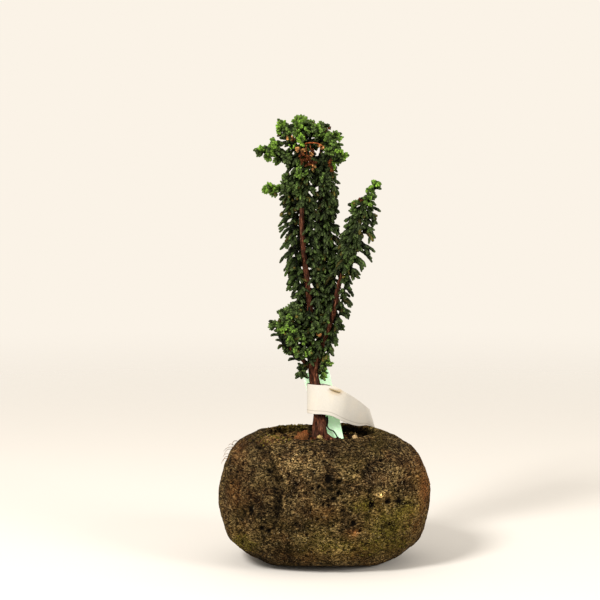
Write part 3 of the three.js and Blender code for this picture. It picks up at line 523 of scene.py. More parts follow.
RIM_RISE = {"x": 10, "spread": 34, "height": 3.0}  # the back of the rim stands a little higher


def relief(angle, height, x, y):
    """The stone's low lumps and its groove, in mm outwards: three sines and one bell-shaped channel."""
    lumps = (0.8 * np.sin(3 * angle + 0.6 + 0.05 * height) + 0.7 * np.sin(5 * angle - 0.09 * height + 2)
             + 0.5 * np.sin(8 * angle + 0.16 * height))
    in_groove = (y < 0) & (height > GROOVE["low"]) & (height < GROOVE["high"])
    return lumps - in_groove * GROOVE["depth"] * bell((x - GROOVE["x"]) / GROOVE["width"])


def plan_sum(x, y):
    """|x/a|^p + |y/b|^p, which is 1 on the stone's widest outline."""
    power = STONE["plan_power"]
    return np.abs(x / STONE["half_width"]) ** power + np.abs(y / STONE["half_depth"]) ** power


def skin_point(angle, height):
    """The stone's skin: a rounded plan drawn in by the same kind of power curve above and below."""
    above = height >= STONE["middle"]
    lift = (height - STONE["middle"]) / np.where(above, STONE["top_half"], STONE["low_half"])
    power = np.where(above, STONE["top_power"], STONE["low_power"])
    spread = np.maximum(1 - np.abs(lift) ** power, 0) ** (1 / power)
    plan = plan_sum(np.cos(angle), np.sin(angle)) ** (-1 / STONE["plan_power"])
    bare = plan * spread
    reach = bare + relief(angle, height, bare * np.cos(angle), np.sin(angle)) * np.minimum(1, spread * 1.2)
    x = reach * np.cos(angle)
    return np.stack([x, reach * np.sin(angle), height - STONE["tilt"] * x * np.maximum(lift, 0)], axis=-1)


def crown_height(x, y):
    """Height of the stone's top over a place in plan."""
    out = plan_sum(x, y) ** (STONE["top_power"] / STONE["plan_power"])
    lift = (1 - out) ** (1 / STONE["top_power"])
    behind = np.clip((y - 10) / 30, 0, 1)
    rise = RIM_RISE["height"] * bell((x - RIM_RISE["x"]) / RIM_RISE["spread"]) * behind
    level = STONE["middle"] + STONE["top_half"] * lift - STONE["tilt"] * x * lift
    return level + rise * np.clip(lift * 2 - 1, 0, 1)


def mouth_radius(angle):
    """The opening's radius: a circle with two low sines."""
    return HOLLOW["mouth"] + 0.7 * np.sin(2 * angle + 1) + 0.5 * np.sin(5 * angle)


def about_hollow(angle, radius):
    """Places in plan at an angle round the hollow's axis and a distance from it."""
    return HOLLOW["x"] + radius * np.cos(angle), HOLLOW["y"] + radius * np.sin(angle)


def hollow_ring(angle, radius, height=None):
    """A ring about the hollow's axis, at a height or lying on the crown."""
    x, y = about_hollow(angle, radius)
    level = crown_height(x, y) if height is None else np.broadcast_to(height, x.shape)
    return np.stack([x, y, level], axis=-1)


STONE_COLUMNS = 460
SKIN_ROWS = 118
LIP = ((1.9, 0.15), (1.2, 0.45), (0.7, 0.9), (0.3, 1.7), (0, 3.4))  # the mouth's edge: out from it and down
UPPER_WALL = ((84, 38.6), (78, 38.5), (70, 38.4))
SHOULDER_SHARES = np.linspace(0, 1, 16)[1:-1]
UNDER_SHARES = (0.3, 0.6, 0.85)


def stone_grid():
    """Rings from the drain's lower edge out over the skin, the crest and down the hollow's wall."""
    angle = turns_round(STONE_COLUMNS)
    lowest = -math.asin((STONE["middle"] / STONE["low_half"]) ** (STONE["low_power"] / 2))
    highest = math.acos(0.8 ** (STONE["top_power"] / 2))
    turn = np.linspace(lowest, highest, SKIN_ROWS)
    half = np.where(turn < 0, STONE["low_half"], STONE["top_half"])
    power = np.where(turn < 0, STONE["low_power"], STONE["top_power"])
    height = np.maximum(STONE["middle"] + np.sign(turn) * half * np.abs(np.sin(turn)) ** (2 / power), 0)
    outer = skin_point(angle[None], height[:, None])
    middle = (outer[..., :2].reshape(-1, 2).max(axis=0) + outer[..., :2].reshape(-1, 2).min(axis=0)) / 2
    outer[..., :2] -= middle
    mouth = mouth_radius(angle)
    crest = hollow_ring(angle, mouth + HOLLOW["crest"])
    shoulder = []
    for share in SHOULDER_SHARES:
        between = outer[-1] * (1 - share) + crest * share
        between[:, 2] = crown_height(between[:, 0], between[:, 1])
        shoulder.append(between)
    lips = [hollow_ring(angle, mouth + out) - down * UP for out, down in LIP]
    walls = [hollow_ring(angle, np.full_like(angle, radius), height)
             for height, radius in (*UPPER_WALL, *WALL)]
    drain = [hollow_ring(angle, np.full_like(angle, HOLLOW["drain"]), height)
             for height in (HOLLOW["floor"], 12, 0)]
    under = [outer[0] * share + drain[-1] * (1 - share) for share in UNDER_SHARES]
    return np.stack([drain[-1], *under, *outer, *shoulder, crest, *lips, *walls, *drain[:-1]])


def patches_of(kind, points):
    """The strongest of one kind's bell-shaped patches at each point, fading over the stone's sides."""
    x, height = points[..., 0] + 2 * noise(points, 5, 57), points[..., 2] + 2 * noise(points, 5, 58)
    most = np.zeros(points.shape[:-1])
    for at, level, wide, tall, strength in STAINS_AND_PAINTED_LIGHT[kind]:
        most = np.maximum(most, strength * bell((x - at) / wide, (height - level) / tall))
    return most * np.clip((18 - points[..., 1]) / 30, 0, 1)


MOSS_TUFTS = 900
ROOTLETS = {"count": 7, "first": (-66.5, -14, 74), "apart": (0.8, 4, 1.5), "lower": 0.9, "rings": 14,
            "thick": 0.24, "thin": 0.1}


def dry_roots(rng):
    """A few dry rootlets that stand off the stone's left shoulder, each a thin curved tube."""
    parts = []
    first, apart = np.array(ROOTLETS["first"]), np.array(ROOTLETS["apart"])
    radius = np.linspace(ROOTLETS["thick"], ROOTLETS["thin"], ROOTLETS["rings"])
    for k in range(ROOTLETS["count"]):
        start = first + apart * k - UP * ROOTLETS["lower"] * (k % 3)
        lean = rng.normal(size=3)
        bend = start + np.array([-4.5, 0.6 * lean[1], 2.4 + lean[2]])
        end = start + np.array([-5.5 - lean[0], 2 * lean[1], -2.5 + 3 * lean[2]])
        parts.append(closed_grid(tube_grid(bent_path(start, bend, end, ROOTLETS["rings"]), radius, 6)))
    return join_parts(parts)


def outward(grid):
    """Unit normals of a grid, from the cross product of its two directions."""
    around, across = (np.roll(grid, -1, axis=k) - np.roll(grid, 1, axis=k) for k in (1, 0))
    return unit(np.cross(around, across))


def holes_of(grid, front):
    """Depths of the bubbles and the large pits, a bell of r^4 each, and of the wavy crack."""
    x, level = grid[..., 0], grid[..., 2]
    bent = grid + 0.5 * np.stack([noise(grid, 1.7, 51 + k) for k in range(3)], axis=-1)
    bubbles = np.zeros(grid.shape[:2])
    for size, share, seed, depth, flat in BUBBLES:
        bubbles = np.maximum(bubbles, pores(bent * (1, 1, flat), size, share, seed) * depth)
    pits = np.zeros(grid.shape[:2])
    for at, height, radius in FRONT_PITS:
        away = np.hypot(bent[..., 0] - at, bent[..., 2] - height) / radius
        pits = np.maximum(pits, front * PIT["depth"] * np.exp(-(away ** 4) * PIT["sharpness"]))
    crack_level = CRACK["level"] - CRACK["slope"] * (x - CRACK["x"]) + CRACK["wave"] * np.sin(0.9 * x)
    crack = front * band(x, *CRACK["ends"]) * bell((level - crack_level) / CRACK["width"]) * CRACK["depth"]
    return np.maximum(bubbles, pits), crack


def stone_colours(grid, fine, lumps, channel, folded, fold):
    """The tone, which patches, folds and low lumps scale, and shares of moss, rust and the mossy lip. The
    tone carries painted light: a painted highlight by the fold and painted shade in the channel, the lumps'
    hollows and the hollow's wall.
    """
    x, y, level = grid[..., 0], grid[..., 1], grid[..., 2]
    inside = np.zeros_like(fine)
    inside[-10:] = 1
    behind = np.clip((y + 10) / 30, 0, 1)
    lip = bell((x - MOSSY_LIP["x"]) / MOSSY_LIP["wide"], (y - MOSSY_LIP["y"]) / MOSSY_LIP["deep"])
    lip = lip * (level > MOSSY_LIP["above"])
    # the pale and dark patches: partly the stone's colour, partly painted highlight and painted shade
    tone = (1 + patches_of("pale", grid)) * (1 - patches_of("dark", grid) * 0.8)
    # painted highlight along the lit side of the fold
    tone = tone * (1 + 0.6 * folded * bell((fold - FOLD["lit_at"]) / FOLD["lit_width"]))
    # painted shade: darker in the channel and where the lumps push the skin in, lighter where it stands out
    tone = tone * (1 - 0.3 * channel / 2.2) * (1.25 - 0.5 * lumps)
    # painted shade inside the hollow, partly the stone's damp: its wall darker, most towards the right
    tone = tone * (1 - inside * np.clip(0.55 + x / 60, 0.3, 0.8))
    tone = tone * (1 + 0.8 * lip) * (1 + 0.5 * behind * np.clip(layered(grid, 20, 95, 2), -0.8, 1))
    moss = patches_of("moss", grid) + (0.3 + 0.5 * behind) * np.clip(layered(grid, 18, 71, 3) + 0.1, 0, 1)
    rust = patches_of("rust", grid) + (0.35 + 0.4 * behind) * np.clip(layered(grid, 14, 81, 3), 0, 1)
    return tone, moss, np.maximum(rust, 0.5 * lip), lip


def moss_tufts(points, share, rng):
    """Small uneven balls on the stone's points, placed by chance where a share is high."""
    odds = share.ravel()
    spots = rng.choice(len(odds), MOSS_TUFTS, p=odds / odds.sum())
    size = 0.35 + 0.45 * rng.random(MOSS_TUFTS) ** 2
    return lumps_batch(points.reshape(-1, 3)[spots], size, 13, np.zeros((MOSS_TUFTS, 3)), 2, 6)[:2]


def build_stone():
    """Skin moved along its normal by lumps, roughness, holes, the channel and the fold, with its colours.

    The colours are shares: painted recess shade (black in the holes, the crack and the fold's line), moss,
    rust and tone. Tufts and rootlets have their own.
    """
    grid = stone_grid()
    count = len(grid)
    x, y, level = grid[..., 0], grid[..., 1], grid[..., 2]
    front = y < 0
    fine = np.zeros(count)  # no relief in the drain, under the stone and in the hollow
    fine[5:count - 7] = 1
    fine[[4, count - 7]] = 0.4
    fine = fine[:, None] * np.clip(level / 4, 0.05, 1)
    lumps, knobs = (0.5 + 0.5 * layered(grid, kind["size"], seed, 3) for kind, seed in ((LUMP, 3), (KNOB, 7)))
    rough = LUMP["depth"] * lumps + KNOB["depth"] * knobs
    rough = rough + GRIT["depth"] * np.abs(layered(grid, GRIT["size"], 11, 2))
    holes, crack = holes_of(grid, front)
    middle = CHANNEL["x"] + CHANNEL["slope"] * (CHANNEL["top"] - level)
    channel = front * CHANNEL["depth"] * bell((x - middle) / CHANNEL["width"]) * band(level, *CHANNEL["ends"])
    fold = x - np.interp(level, FOLD["level"], FOLD["x"]) - 0.5 * noise(grid, 4, 61)
    folded = front * band(level, *FOLD["ends"])
    channel = np.maximum(channel, folded * FOLD["depth"] * bell(fold / FOLD["width"]))
    swell = SWELL["height"] * np.clip((SWELL["x"] - np.abs(x)) / SWELL["x_fade"], 0, 1)
    swell = swell * np.clip((SWELL["y"] - np.abs(y)) / SWELL["y_fade"], 0, 1)
    bulge = BULGE["height"] * bell((x - BULGE["x"]) / BULGE["wide"], (level - BULGE["level"]) / BULGE["tall"])
    depth = rough + np.maximum(holes, crack) + channel - swell - bulge * (y < BULGE["reach"])
    points = grid - outward(grid) * (depth * fine)[..., None]
    lowest = np.clip(UNDERCUT["y"] - points[..., 1], 0, None) * UNDERCUT["slope"]
    points[..., 2] = np.maximum(points[..., 2], lowest * (level < UNDERCUT["level"]))
    column = np.arange(STONE_COLUMNS)
    after = (column + 1) % STONE_COLUMNS
    last = (count - 1) * STONE_COLUMNS
    faces = [grid_faces(count, STONE_COLUMNS),
             np.stack([last + column, last + after, after, column], axis=-1)]

    # painted shade: the holes, the crack and the fold's line are painted black
    painted_recess_shade = np.clip((holes - BLACK["from"]) / BLACK["over"], 0, 1) * fine
    painted_recess_shade = np.maximum(painted_recess_shade, np.clip(crack, 0, 1) * fine)
    painted_recess_shade = np.maximum(painted_recess_shade, BLACK["fold"] * folded * bell(fold / FOLD["pores"]) * fine)
    tone, moss, rust, lip = stone_colours(grid, fine, lumps, channel, folded, fold)
    rng = np.random.default_rng(12)
    tufts = moss_tufts(points, np.clip(moss - 0.25, 0, 1) * fine * (level > 6) + 0.5 * lip, rng)
    hairs = dry_roots(rng)
    own = {"painted_recess_shade": painted_recess_shade.ravel(), "moss": np.clip(moss, 0, 1).ravel(), "rust": np.clip(rust, 0, 1).ravel(),
           "tone": np.repeat(tone.reshape(-1, 1), 3, axis=1)}
    extra = {"painted_recess_shade": (0.0, 0.0), "moss": (0.95, 0.0), "rust": (0.0, 0.6), "tone": ([1.15] * 3, [1.6] * 3)}
    more = len(tufts[0]), len(hairs[0])
    all_points, all_faces = join_parts([(points.reshape(-1, 3), faces), tufts, hairs])
    return add_mesh("lava_stone", all_points, all_faces,
                    {key: np.concatenate([own[key], np.repeat(extra[key], more, axis=0)]) for key in own})


# ---------------------------------------------------------------- soil

GRAIN_TINTS = ((srgb(50, 36, 23), 0.40), (srgb(26, 19, 14), 0.33), (srgb(96, 54, 30), 0.09),
               (srgb(92, 76, 38), 0.13), (srgb(168, 142, 100), 0.05))  # each with its share of the grains
GRAINS = 1150
BED = {"rings": 34, "columns": 96, "inset": 1.9, "rough": 0.8, "lump": 2.4, "skirt": 12, "round_trunk": 5.5}
BED_TINT, OCHRE = srgb(24, 17, 12), srgb(112, 88, 50)
LUMPS = (  # x, y, rise over the bed, size and colour of single lumps of clay and pumice
    (-16.5, -20, 4.8, 3.8, srgb(116, 74, 43)), (-14, -18, 7.4, 2.4, srgb(112, 66, 37)),
    (-12, -26, 1.6, 2.0, srgb(140, 66, 30)), (22, 8, 2.0, 2.2, srgb(198, 168, 122)),
    (24.5, 4, 1.4, 1.7, srgb(150, 84, 44)), (28, 2, 1.4, 1.5, srgb(196, 176, 138)),
    (-3.5, -9, 4.5, 1.7, srgb(196, 170, 110)), (-26, -22, 1.6, 1.9, srgb(120, 104, 52)),
    (6, -24, 1.2, 1.6, srgb(110, 44, 22)), (-33, -12, 1.8, 2.4, srgb(104, 92, 48)))


def soil_height(x, y):
    """Level ground with one mound, and small waves."""
    away = ((x - SOIL["mound_x"]) ** 2 + (y - SOIL["mound_y"]) ** 2) / SOIL["mound_spread"] ** 2
    return (SOIL["level"] + SOIL["mound"] * np.exp(-away)
            + 0.45 * np.sin(0.9 * x + 0.4 * y) * np.cos(0.7 * y - 0.2 * x))


def lumps_batch(centre, size, seed, tints, rows, columns=8):
    """Many uneven grains at once: a ball's grid, each point moved by its grain's own noise."""
    lat = np.linspace(-math.pi / 2, math.pi / 2, rows + 2)[1:-1]
    lon = turns_round(columns)
    ball = np.stack([np.cos(lat)[:, None] * np.cos(lon), np.cos(lat)[:, None] * np.sin(lon),
                     np.repeat(np.sin(lat)[:, None], columns, axis=1)], axis=-1).reshape(-1, 3)
    ball = np.concatenate([ball, [[0, 0, -1], [0, 0, 1]]])
    rng = np.random.default_rng(seed)
    axes = rng.normal(size=(len(centre), 3, 3))
    turn = np.linalg.qr(axes)[0]
    turn *= np.sign(np.linalg.det(turn))[:, None, None]
    local = ball[None] * (1 + 0.2 * rng.normal(size=(len(centre), len(ball), 1)))
    local = local * (0.75 + 0.5 * rng.random((len(centre), 1, 3)))
    points = centre[:, None] + np.einsum("nij,nkj->nki", turn, local) * size[:, None, None]
    faces = closed_faces(rows, columns, len(centre))
    return points.reshape(-1, 3), faces, np.repeat(tints, len(ball), axis=0)


def build_soil():
    """A rough bed with loose grains lying on it, ochre ones on the left, and the single lumps."""
    rng = np.random.default_rng(5)
    reach = HOLLOW["mouth"] - BED["inset"]
    shares = np.concatenate([[1.0, 1.0], np.linspace(0.985, 0.02, BED["rings"])])
    x, y = about_hollow(turns_round(BED["columns"]), reach * shares[:, None])
    top = soil_height(x, y) - 0.5
    bed = np.stack([x, y, top], axis=-1)
    bed[..., 2] += BED["rough"] * layered(bed, BED["lump"], 91, 3)
    bed[0, :, 2] = SOIL["level"] - BED["skirt"]
    bed_points, bed_faces = closed_grid(bed)
    dark = np.tile(BED_TINT, (len(bed_points), 1))

    out = reach * np.sqrt(rng.random(GRAINS)) * 0.985
    around = rng.random(GRAINS) * 2 * np.pi
    size = 0.75 + 1.0 * rng.random(GRAINS) ** 2.2
    gx, gy = about_hollow(around, out)
    keep = np.hypot(gx - STEMS["front"][1][0], gy) > BED["round_trunk"]
    centre = np.stack([gx, gy, soil_height(gx, gy) + 0.25 * size], axis=-1)[keep]
    size = size[keep]
    choice = rng.choice(len(GRAIN_TINTS), size=len(size), p=[share for _, share in GRAIN_TINTS])
    tints = np.array([tint for tint, _ in GRAIN_TINTS])[choice] * (0.5 + 0.5 * rng.random((len(size), 1)))
    ochre = (np.clip((-14 - centre[:, 0]) / 10, 0, 1) * (rng.random(len(size)) < 0.6))[:, None]
    tints = tints * (1 - ochre) + OCHRE * ochre * (0.3 + 0.9 * rng.random((len(size), 1)))
    grains = lumps_batch(centre, size, 6, tints, 4)
    lump = np.array([row[:4] for row in LUMPS])
    lump_at = np.stack([lump[:, 0], lump[:, 1], soil_height(lump[:, 0], lump[:, 1]) + lump[:, 2] - 1], axis=1)
    clay = lumps_batch(lump_at, lump[:, 3], 9, np.array([row[4] for row in LUMPS]), 9, 14)
    points, faces = join_parts([(bed_points, bed_faces), grains[:2], clay[:2]])
    tint = np.concatenate([dark, grains[2], clay[2]])
    return add_mesh("grain_soil", points, faces, {"tint": tint})


# ---------------------------------------------------------------- bark

STEMS = {
    "front": ((-3.1, 0.5, 60, 3.2), (-3.1, 0, 78, 6.2), (-3.1, 0, 88, 5.3), (-3.5, 0, 102, 4.3),
              (-4.6, 0, 114, 3.9), (-7, 0, 128, 3.5), (-8.8, 0, 142, 3), (-9.7, -0.6, 158, 2.5),
              (-10.2, -1, 178, 2.15), (-12.5, -1.5, 200, 1.95), (-15.2, -1.5, 224, 1.75),
              (-16, -1, 246, 1.6), (-15.6, 0, 266, 1.4), (-13.7, 1, 288, 1.1), (-12.4, 1.5, 300, 0.8)),
    "rear": ((-7.4, 0.8, 126, 2.6), (-5.4, 4.5, 140, 2.5), (-3.4, 8, 156, 2.2), (-1.8, 10, 182, 2),
             (-1.4, 10, 206, 1.85), (-2, 9, 232, 1.65), (-3, 7.5, 262, 1.45), (-2.8, 6, 284, 1.15),
             (-1.6, 5, 300, 0.8)),
    "right": ((-7.6, -0.6, 131, 2.4), (-4.8, -2, 145, 2.4), (-0.4, -3, 156.5, 2.2), (3.8, -3, 168, 2.05),
              (6.7, -3, 179, 1.9), (9.9, -3, 195, 1.75), (14.9, -2.5, 212, 1.55), (21.8, -2, 231, 1.35),
              (28.7, -1, 250, 1.05), (32.4, 0, 259, 0.8)),
    "limb": ((-8, -0.4, 134, 1.7), (-14.4, -2, 141.5, 1.6), (-19.6, -4, 146, 1.35),
             (-23.6, -6, 151, 1.1), (-25.6, -7, 157, 0.8)),
    "stub": ((-0.6, -2.8, 157, 1.5), (-2.6, -5.2, 159.8, 1.5), (-4.2, -7.6, 161.6, 2.1)),
}
ROOTS = {"count": 5, "turn": -6, "reach": 15, "dive": 17, "thick": 3.1, "thin": 1.1, "level": 85.5}
STEM_RINGS = (("front", 260, 34), ("rear", 150, 20), ("right", 150, 20), ("limb", 50, 16), ("stub", 20, 20))
CUT_REACH = 2.6  # the pale cut, from the stub's end
# Sizes in the noise's own space, where strips are drawn out along the stem. Depths are shares of the radius.
BARK = {"round": 2.2, "along": 0.16, "strip": 1.1, "lump": 2.4, "lump_depth": 0.10, "strip_depth": 0.16,
        "limits": (-0.22, 0.14)}


def bark_tube(path, radius, columns, seed):
    """A stem whose skin is drawn in by long fissures and raised in peeling strips, ends closed."""
    length = length_along(path)
    angle = turns_round(columns)
    wound = np.stack(np.broadcast_arrays(np.cos(angle)[None] * BARK["round"],
                                         np.sin(angle)[None] * BARK["round"],
                                         length[:, None] * BARK["along"]), axis=-1)
    strips = layered(wound, BARK["strip"], seed, 4)
    lumps = noise(wound * (1, 1, 2.2), BARK["lump"], seed + 9)
    depth = BARK["lump_depth"] * lumps + BARK["strip_depth"] * strips
    radius = np.asarray(radius)[:, None] * (1 + np.clip(depth, *BARK["limits"]))
    points, faces = closed_grid(tube_grid(path, radius, columns))
    fissure = np.clip(-strips * 1.6 - 0.25, 0, 1)
    return points, faces, np.concatenate([fissure.ravel(), [0, 0]])


def stem_curve(name, count):
    """A stem's centre line and radius at evenly counted places."""
    stem = np.array(STEMS[name])
    place = np.linspace(0, len(stem) - 1, count)
    return curve_at(stem[:, :3], place), np.interp(place, np.arange(len(stem)), stem[:, 3])


def build_bark():
    """All stems, the pruned stub and the roots as one bark."""
    parts = []
    for k, (name, count, columns) in enumerate(STEM_RINGS):
        path, radius = stem_curve(name, count)
        parts.append(bark_tube(path, radius, columns, 100 + 7 * k))
    base = np.array([STEMS["front"][1][0], STEMS["front"][1][1], 0])
    for k in range(ROOTS["count"]):
        turn = math.radians(360 * k / ROOTS["count"] + ROOTS["turn"] + 14 * math.sin(5 * k))
        away = np.array([math.cos(turn), math.sin(turn), 0])
        reach = ROOTS["reach"] * (0.85 + 0.25 * math.sin(3 * k + 1))
        level = ROOTS["level"]
        stations = [(1.5, level + 3.5), (0.42 * reach, level + 0.4), (0.8 * reach, level - 3.2),
                    (reach, level - ROOTS["dive"])]
        path = curve_through([base + away * out + UP * z for out, z in stations], 30)
        thick = ROOTS["thick"] * np.array([1, 0.78, 0.6, ROOTS["thin"] / ROOTS["thick"]])
        radius = np.interp(np.linspace(0, 3, 30), range(4), thick)
        parts.append(bark_tube(path, radius, 16, 150 + k))
    points, faces = join_parts([part[:2] for part in parts])
    end = np.array(STEMS["stub"][-1][:3])
    cut = np.clip(CUT_REACH - np.linalg.norm(points - end, axis=1), 0, 1)
    return add_mesh("stringy_bark", points, faces,
                    {"fissure": np.concatenate([p[2] for p in parts]), "cut": cut})


# ---------------------------------------------------------------- foliage

GAP = 0.35  # clearance between pieces that touch
ROOT_STAND = 0.8  # from the bark to the middle of a twig
TWIG = {"stretch": 3.3, "radius": 0.8, "links": 2.4, "link": 3.9}
CORD = {"sway": 14, "shortest": 0.74, "longer": 0.34, "behind": 0.6, "reach": 0.8, "drop": 0.55, "slope": 5,
        "slope_sway": 9, "radius": 1.05, "side": 5.0}
CORD_SPACING = {"front": 1.07, "rear": 1.07, "right": 1.3}
FEATHER = {"splay": 34, "sway": 10, "roll": 0.6, "drop": 0.25, "radius": 0.98}  # a cord's side cords
SCALES = {"ends": 0.8, "tip": 0.62, "raised": 0.12, "on_crests": 0.4}
CREST = {"half_turn": 100, "sway": 5, "flat": 0.22, "lobe": 0.24, "root": 0.2}
TWOS = {"step": 3, "splay": 54, "sway": 12, "long": 6, "shorter": 2.4, "drop": 0.25, "side": 3.6,
        "fresh": 0.35, "side_fresh": 0.16}  # a shoot's own cords
SIDE_CREST = {"step": 2.9, "stand": 2.2, "size": 4.0}
TIP_CREST = {"least": 2, "growth": 0.14, "most": 4.8, "sunk": 0.75, "lobes": 15}
TWIGS = {  # low end, high end, heading from the stem, distance from it, cord length low and high
    "front": ((153, 190, 172, 3, 9, 10.5), (190, 230, 184, 3.2, 9.5, 13.5), (230, 268, 152, 4.5, 13.5, 12),
              (262, 286, 236, 4, 12, 10), (157, 197, 100, 3, 11, 12), (200, 244, 95, 3.5, 12, 12),
              (246, 284, 112, 3.5, 12, 11), (166, 206, -8, 2.6, 9, 9), (209, 249, -4, 2.6, 9, 10),
              (249, 285, -62, 2.8, 11, 10)),
    "rear": ((157, 197, 8, 2.6, 9, 10), (199, 240, 3, 3, 9.5, 10.5), (242, 282, -3, 3, 10.5, 8.5),
             (160, 200, 98, 3, 11, 11), (204, 244, 102, 3, 11, 11), (248, 284, 88, 3, 11, 10),
             (154, 193, -70, 2.8, 10, 11), (196, 238, -82, 3, 11, 11), (241, 281, -66, 3, 11, 10)),
    "right": ((143, 168, -22, 0.8, 4, 8.5), (169, 195, -12, 2, 8, 8.5), (197, 224, -28, 3, 8, 13.5),
              (226, 249, -5, 2.5, 13.5, 6.5), (150, 181, 80, 2.4, 9, 10), (184, 214, 146, 2.6, 10, 10),
              (216, 246, 168, 2.6, 10, 9), (204, 236, -112, 2.6, 10, 10)),
}
SHOOTS = (  # stem, height there (None for its end), where the tip reaches, how fresh
    ("front", 281, (-46.5, -5, 290), 0.85), ("front", 286, (-31, -5, 308), 0.9),
    ("front", 293, (-18.5, -8, 308), 0.9), ("front", None, (-17, 0, 312.3), 0.9),
    ("rear", None, (0, 1, 306), 0.4), ("rear", 290, (8.5, -3, 301), 0.7), ("rear", 278, (13.5, -5, 287), 0.9),
    ("front", 259, (-41, -5, 264), 0.9), ("rear", 294, (-8, 17, 305), 0.6), ("rear", 280, (9, 18, 293), 0.6),
    ("front", 288, (-25, 14, 296), 0.7), ("right", None, (36.6, 0, 266), 0.9),
    ("right", 245, (19.5, -6, 253), 0.6), ("front", 129.5, (-17, -2, 138), 0.05),
    ("front", 132.5, (0.2, -4, 137), 0.75), ("limb", None, (-28, -9, 178.5), 0.15),
    ("limb", 153, (-34.5, -8, 170), 0.15), ("limb", 146.5, (-22, -14, 165), 0.3),
    ("limb", 143, (-24, 3.5, 158), 0.2), ("front", 142, (-12, -12, 151), 0.35),
    ("front", 160, (-6, -12, 169), 0.15), ("right", 251, (31, -9, 258), 0.8),
    ("rear", 293, (-4, -8, 306), 0.6), ("front", 255, (-28, -11, 272), 0.15))
BARK_VIEWS = (  # stem, low and high end and half width of each stretch of bark that shows from the front
    ("front", 177, 247, 1.9), ("right", 158, 200, 1.5), ("stub", 157, 162, 3.4))
HEADS = (  # middle, reach and depth of the painted shade inside each dense head
    (-22, -2, 161, 11, 0.7), (-16, -3, 154, 8, 0.7), (-10, 4, 290, 12, 0.35), (-26, 2, 293, 6, 0.15),
    (6, 3, 292, 6, 0.15))
# deep darkens roots and bare twigs, partly painted shade among the crowded cords; tips are lighter, partly
# fresh growth
TINTS = {"deep": srgb(10, 14, 8), "cord": srgb(33, 40, 21), "tip": srgb(70, 84, 48),
         "fresh": srgb(52, 84, 24), "bright": srgb(128, 168, 56), "olive": srgb(78, 72, 30),
         "dead": srgb(150, 84, 40), "tan": srgb(214, 156, 94)}
SLEEVES = {  # spray that has them: stem, low end, high end, heading, distance, cord length low and high
    "front_sprays_8": (("front", 157, 177, 262, 0.8, 7, 6),),
    "front_sprays_10": (("front", 270, 292, 235, 0.8, 7, 6),),
    "rear_sprays_9": (("rear", 266, 285, 250, 0.8, 8, 6), ("rear", 268, 283, 300, 0.8, 8, 5)),
    "right_sprays_1": (("right", 147, 184, 232, 0.8, 5, 5.5),),
    "right_sprays_8": (("right", 206, 232, 262, 0.8, 6, 6), ("right", 230, 257, 262, 0.8, 6, 5),
                       ("right", 232, 257, 200, 0.8, 6, 5)),
}
CROWN = {  # for each shoot's piece, further shoots in the same head: the same four values
    1: (("front", 282, (-36.5, -7, 296.5), 0.9), ("front", 283, (-38, -8, 290), 0.6)),
    2: (("front", 288, (-25.5, -7, 305), 0.3),),
    3: (("front", 290, (-17, -11, 298.5), 1.15), ("front", 292, (-9, -6, 309), 0.3)),
    4: (("front", 294, (-12, -3, 309), 0.4),),
    5: (("rear", 294, (-5, -3, 304), 0.25),),
    6: (("rear", 288, (3, -7, 298), 0.4),),
    7: (("rear", 282, (3, -9, 291), 0.35),),
    9: (("rear", 288, (2, 14, 301), 0.5), ("rear", 280, (-10, 18, 294), 0.4)),
    10: (("rear", 276, (3, 17, 286), 0.4),),
    11: (("front", 286, (-16, 10, 303), 0.4), ("front", 278, (-27, 10, 286), 0.5)),
    14: (("limb", 138, (-16, -4, 131), 0.05),),
    15: (("right", 141, (2.5, -7, 146), 0.7), ("front", 137, (2, -6, 143), 0.5)),
    16: (("limb", 154, (-22.5, -8, 182), 0.0), ("limb", 153, (-29, -12, 173), 0.3)),
    17: (("limb", 152, (-29, -11, 166), 0.7),),
    18: (("limb", 152, (-19, -9, 177), 0.05), ("limb", 144, (-21, -14, 151), 0.65)),
    19: (("limb", 150, (-26, 4, 172), 0.4), ("limb", 146, (-31, -2, 159), 0.05),
         ("limb", 142, (-24.5, -3, 152), 0.02), ("limb", 148, (-27, 0, 164), 0.02)),
    20: (("front", 144, (-14.5, -9, 150), 0.75),),
    21: (("front", 152, (-15, -10, 163), 0.1),),
    23: (("rear", 262, (-1, -8, 272), 0.15),),
    24: (("front", 276, (-27, -9, 284), 0.05), ("front", 268, (-17.5, -12, 275), 0.4)),
}
MOST_BARE = 0.3  # how far along its length a shoot stays bare
BARE = {1: 0.4, 2: 0.7, 8: 0.5, 12: 0.4, 14: 0.4, 15: 0.1, 17: 0.5}  # the same for the shoots that differ
CROWN_BARE = 0.62
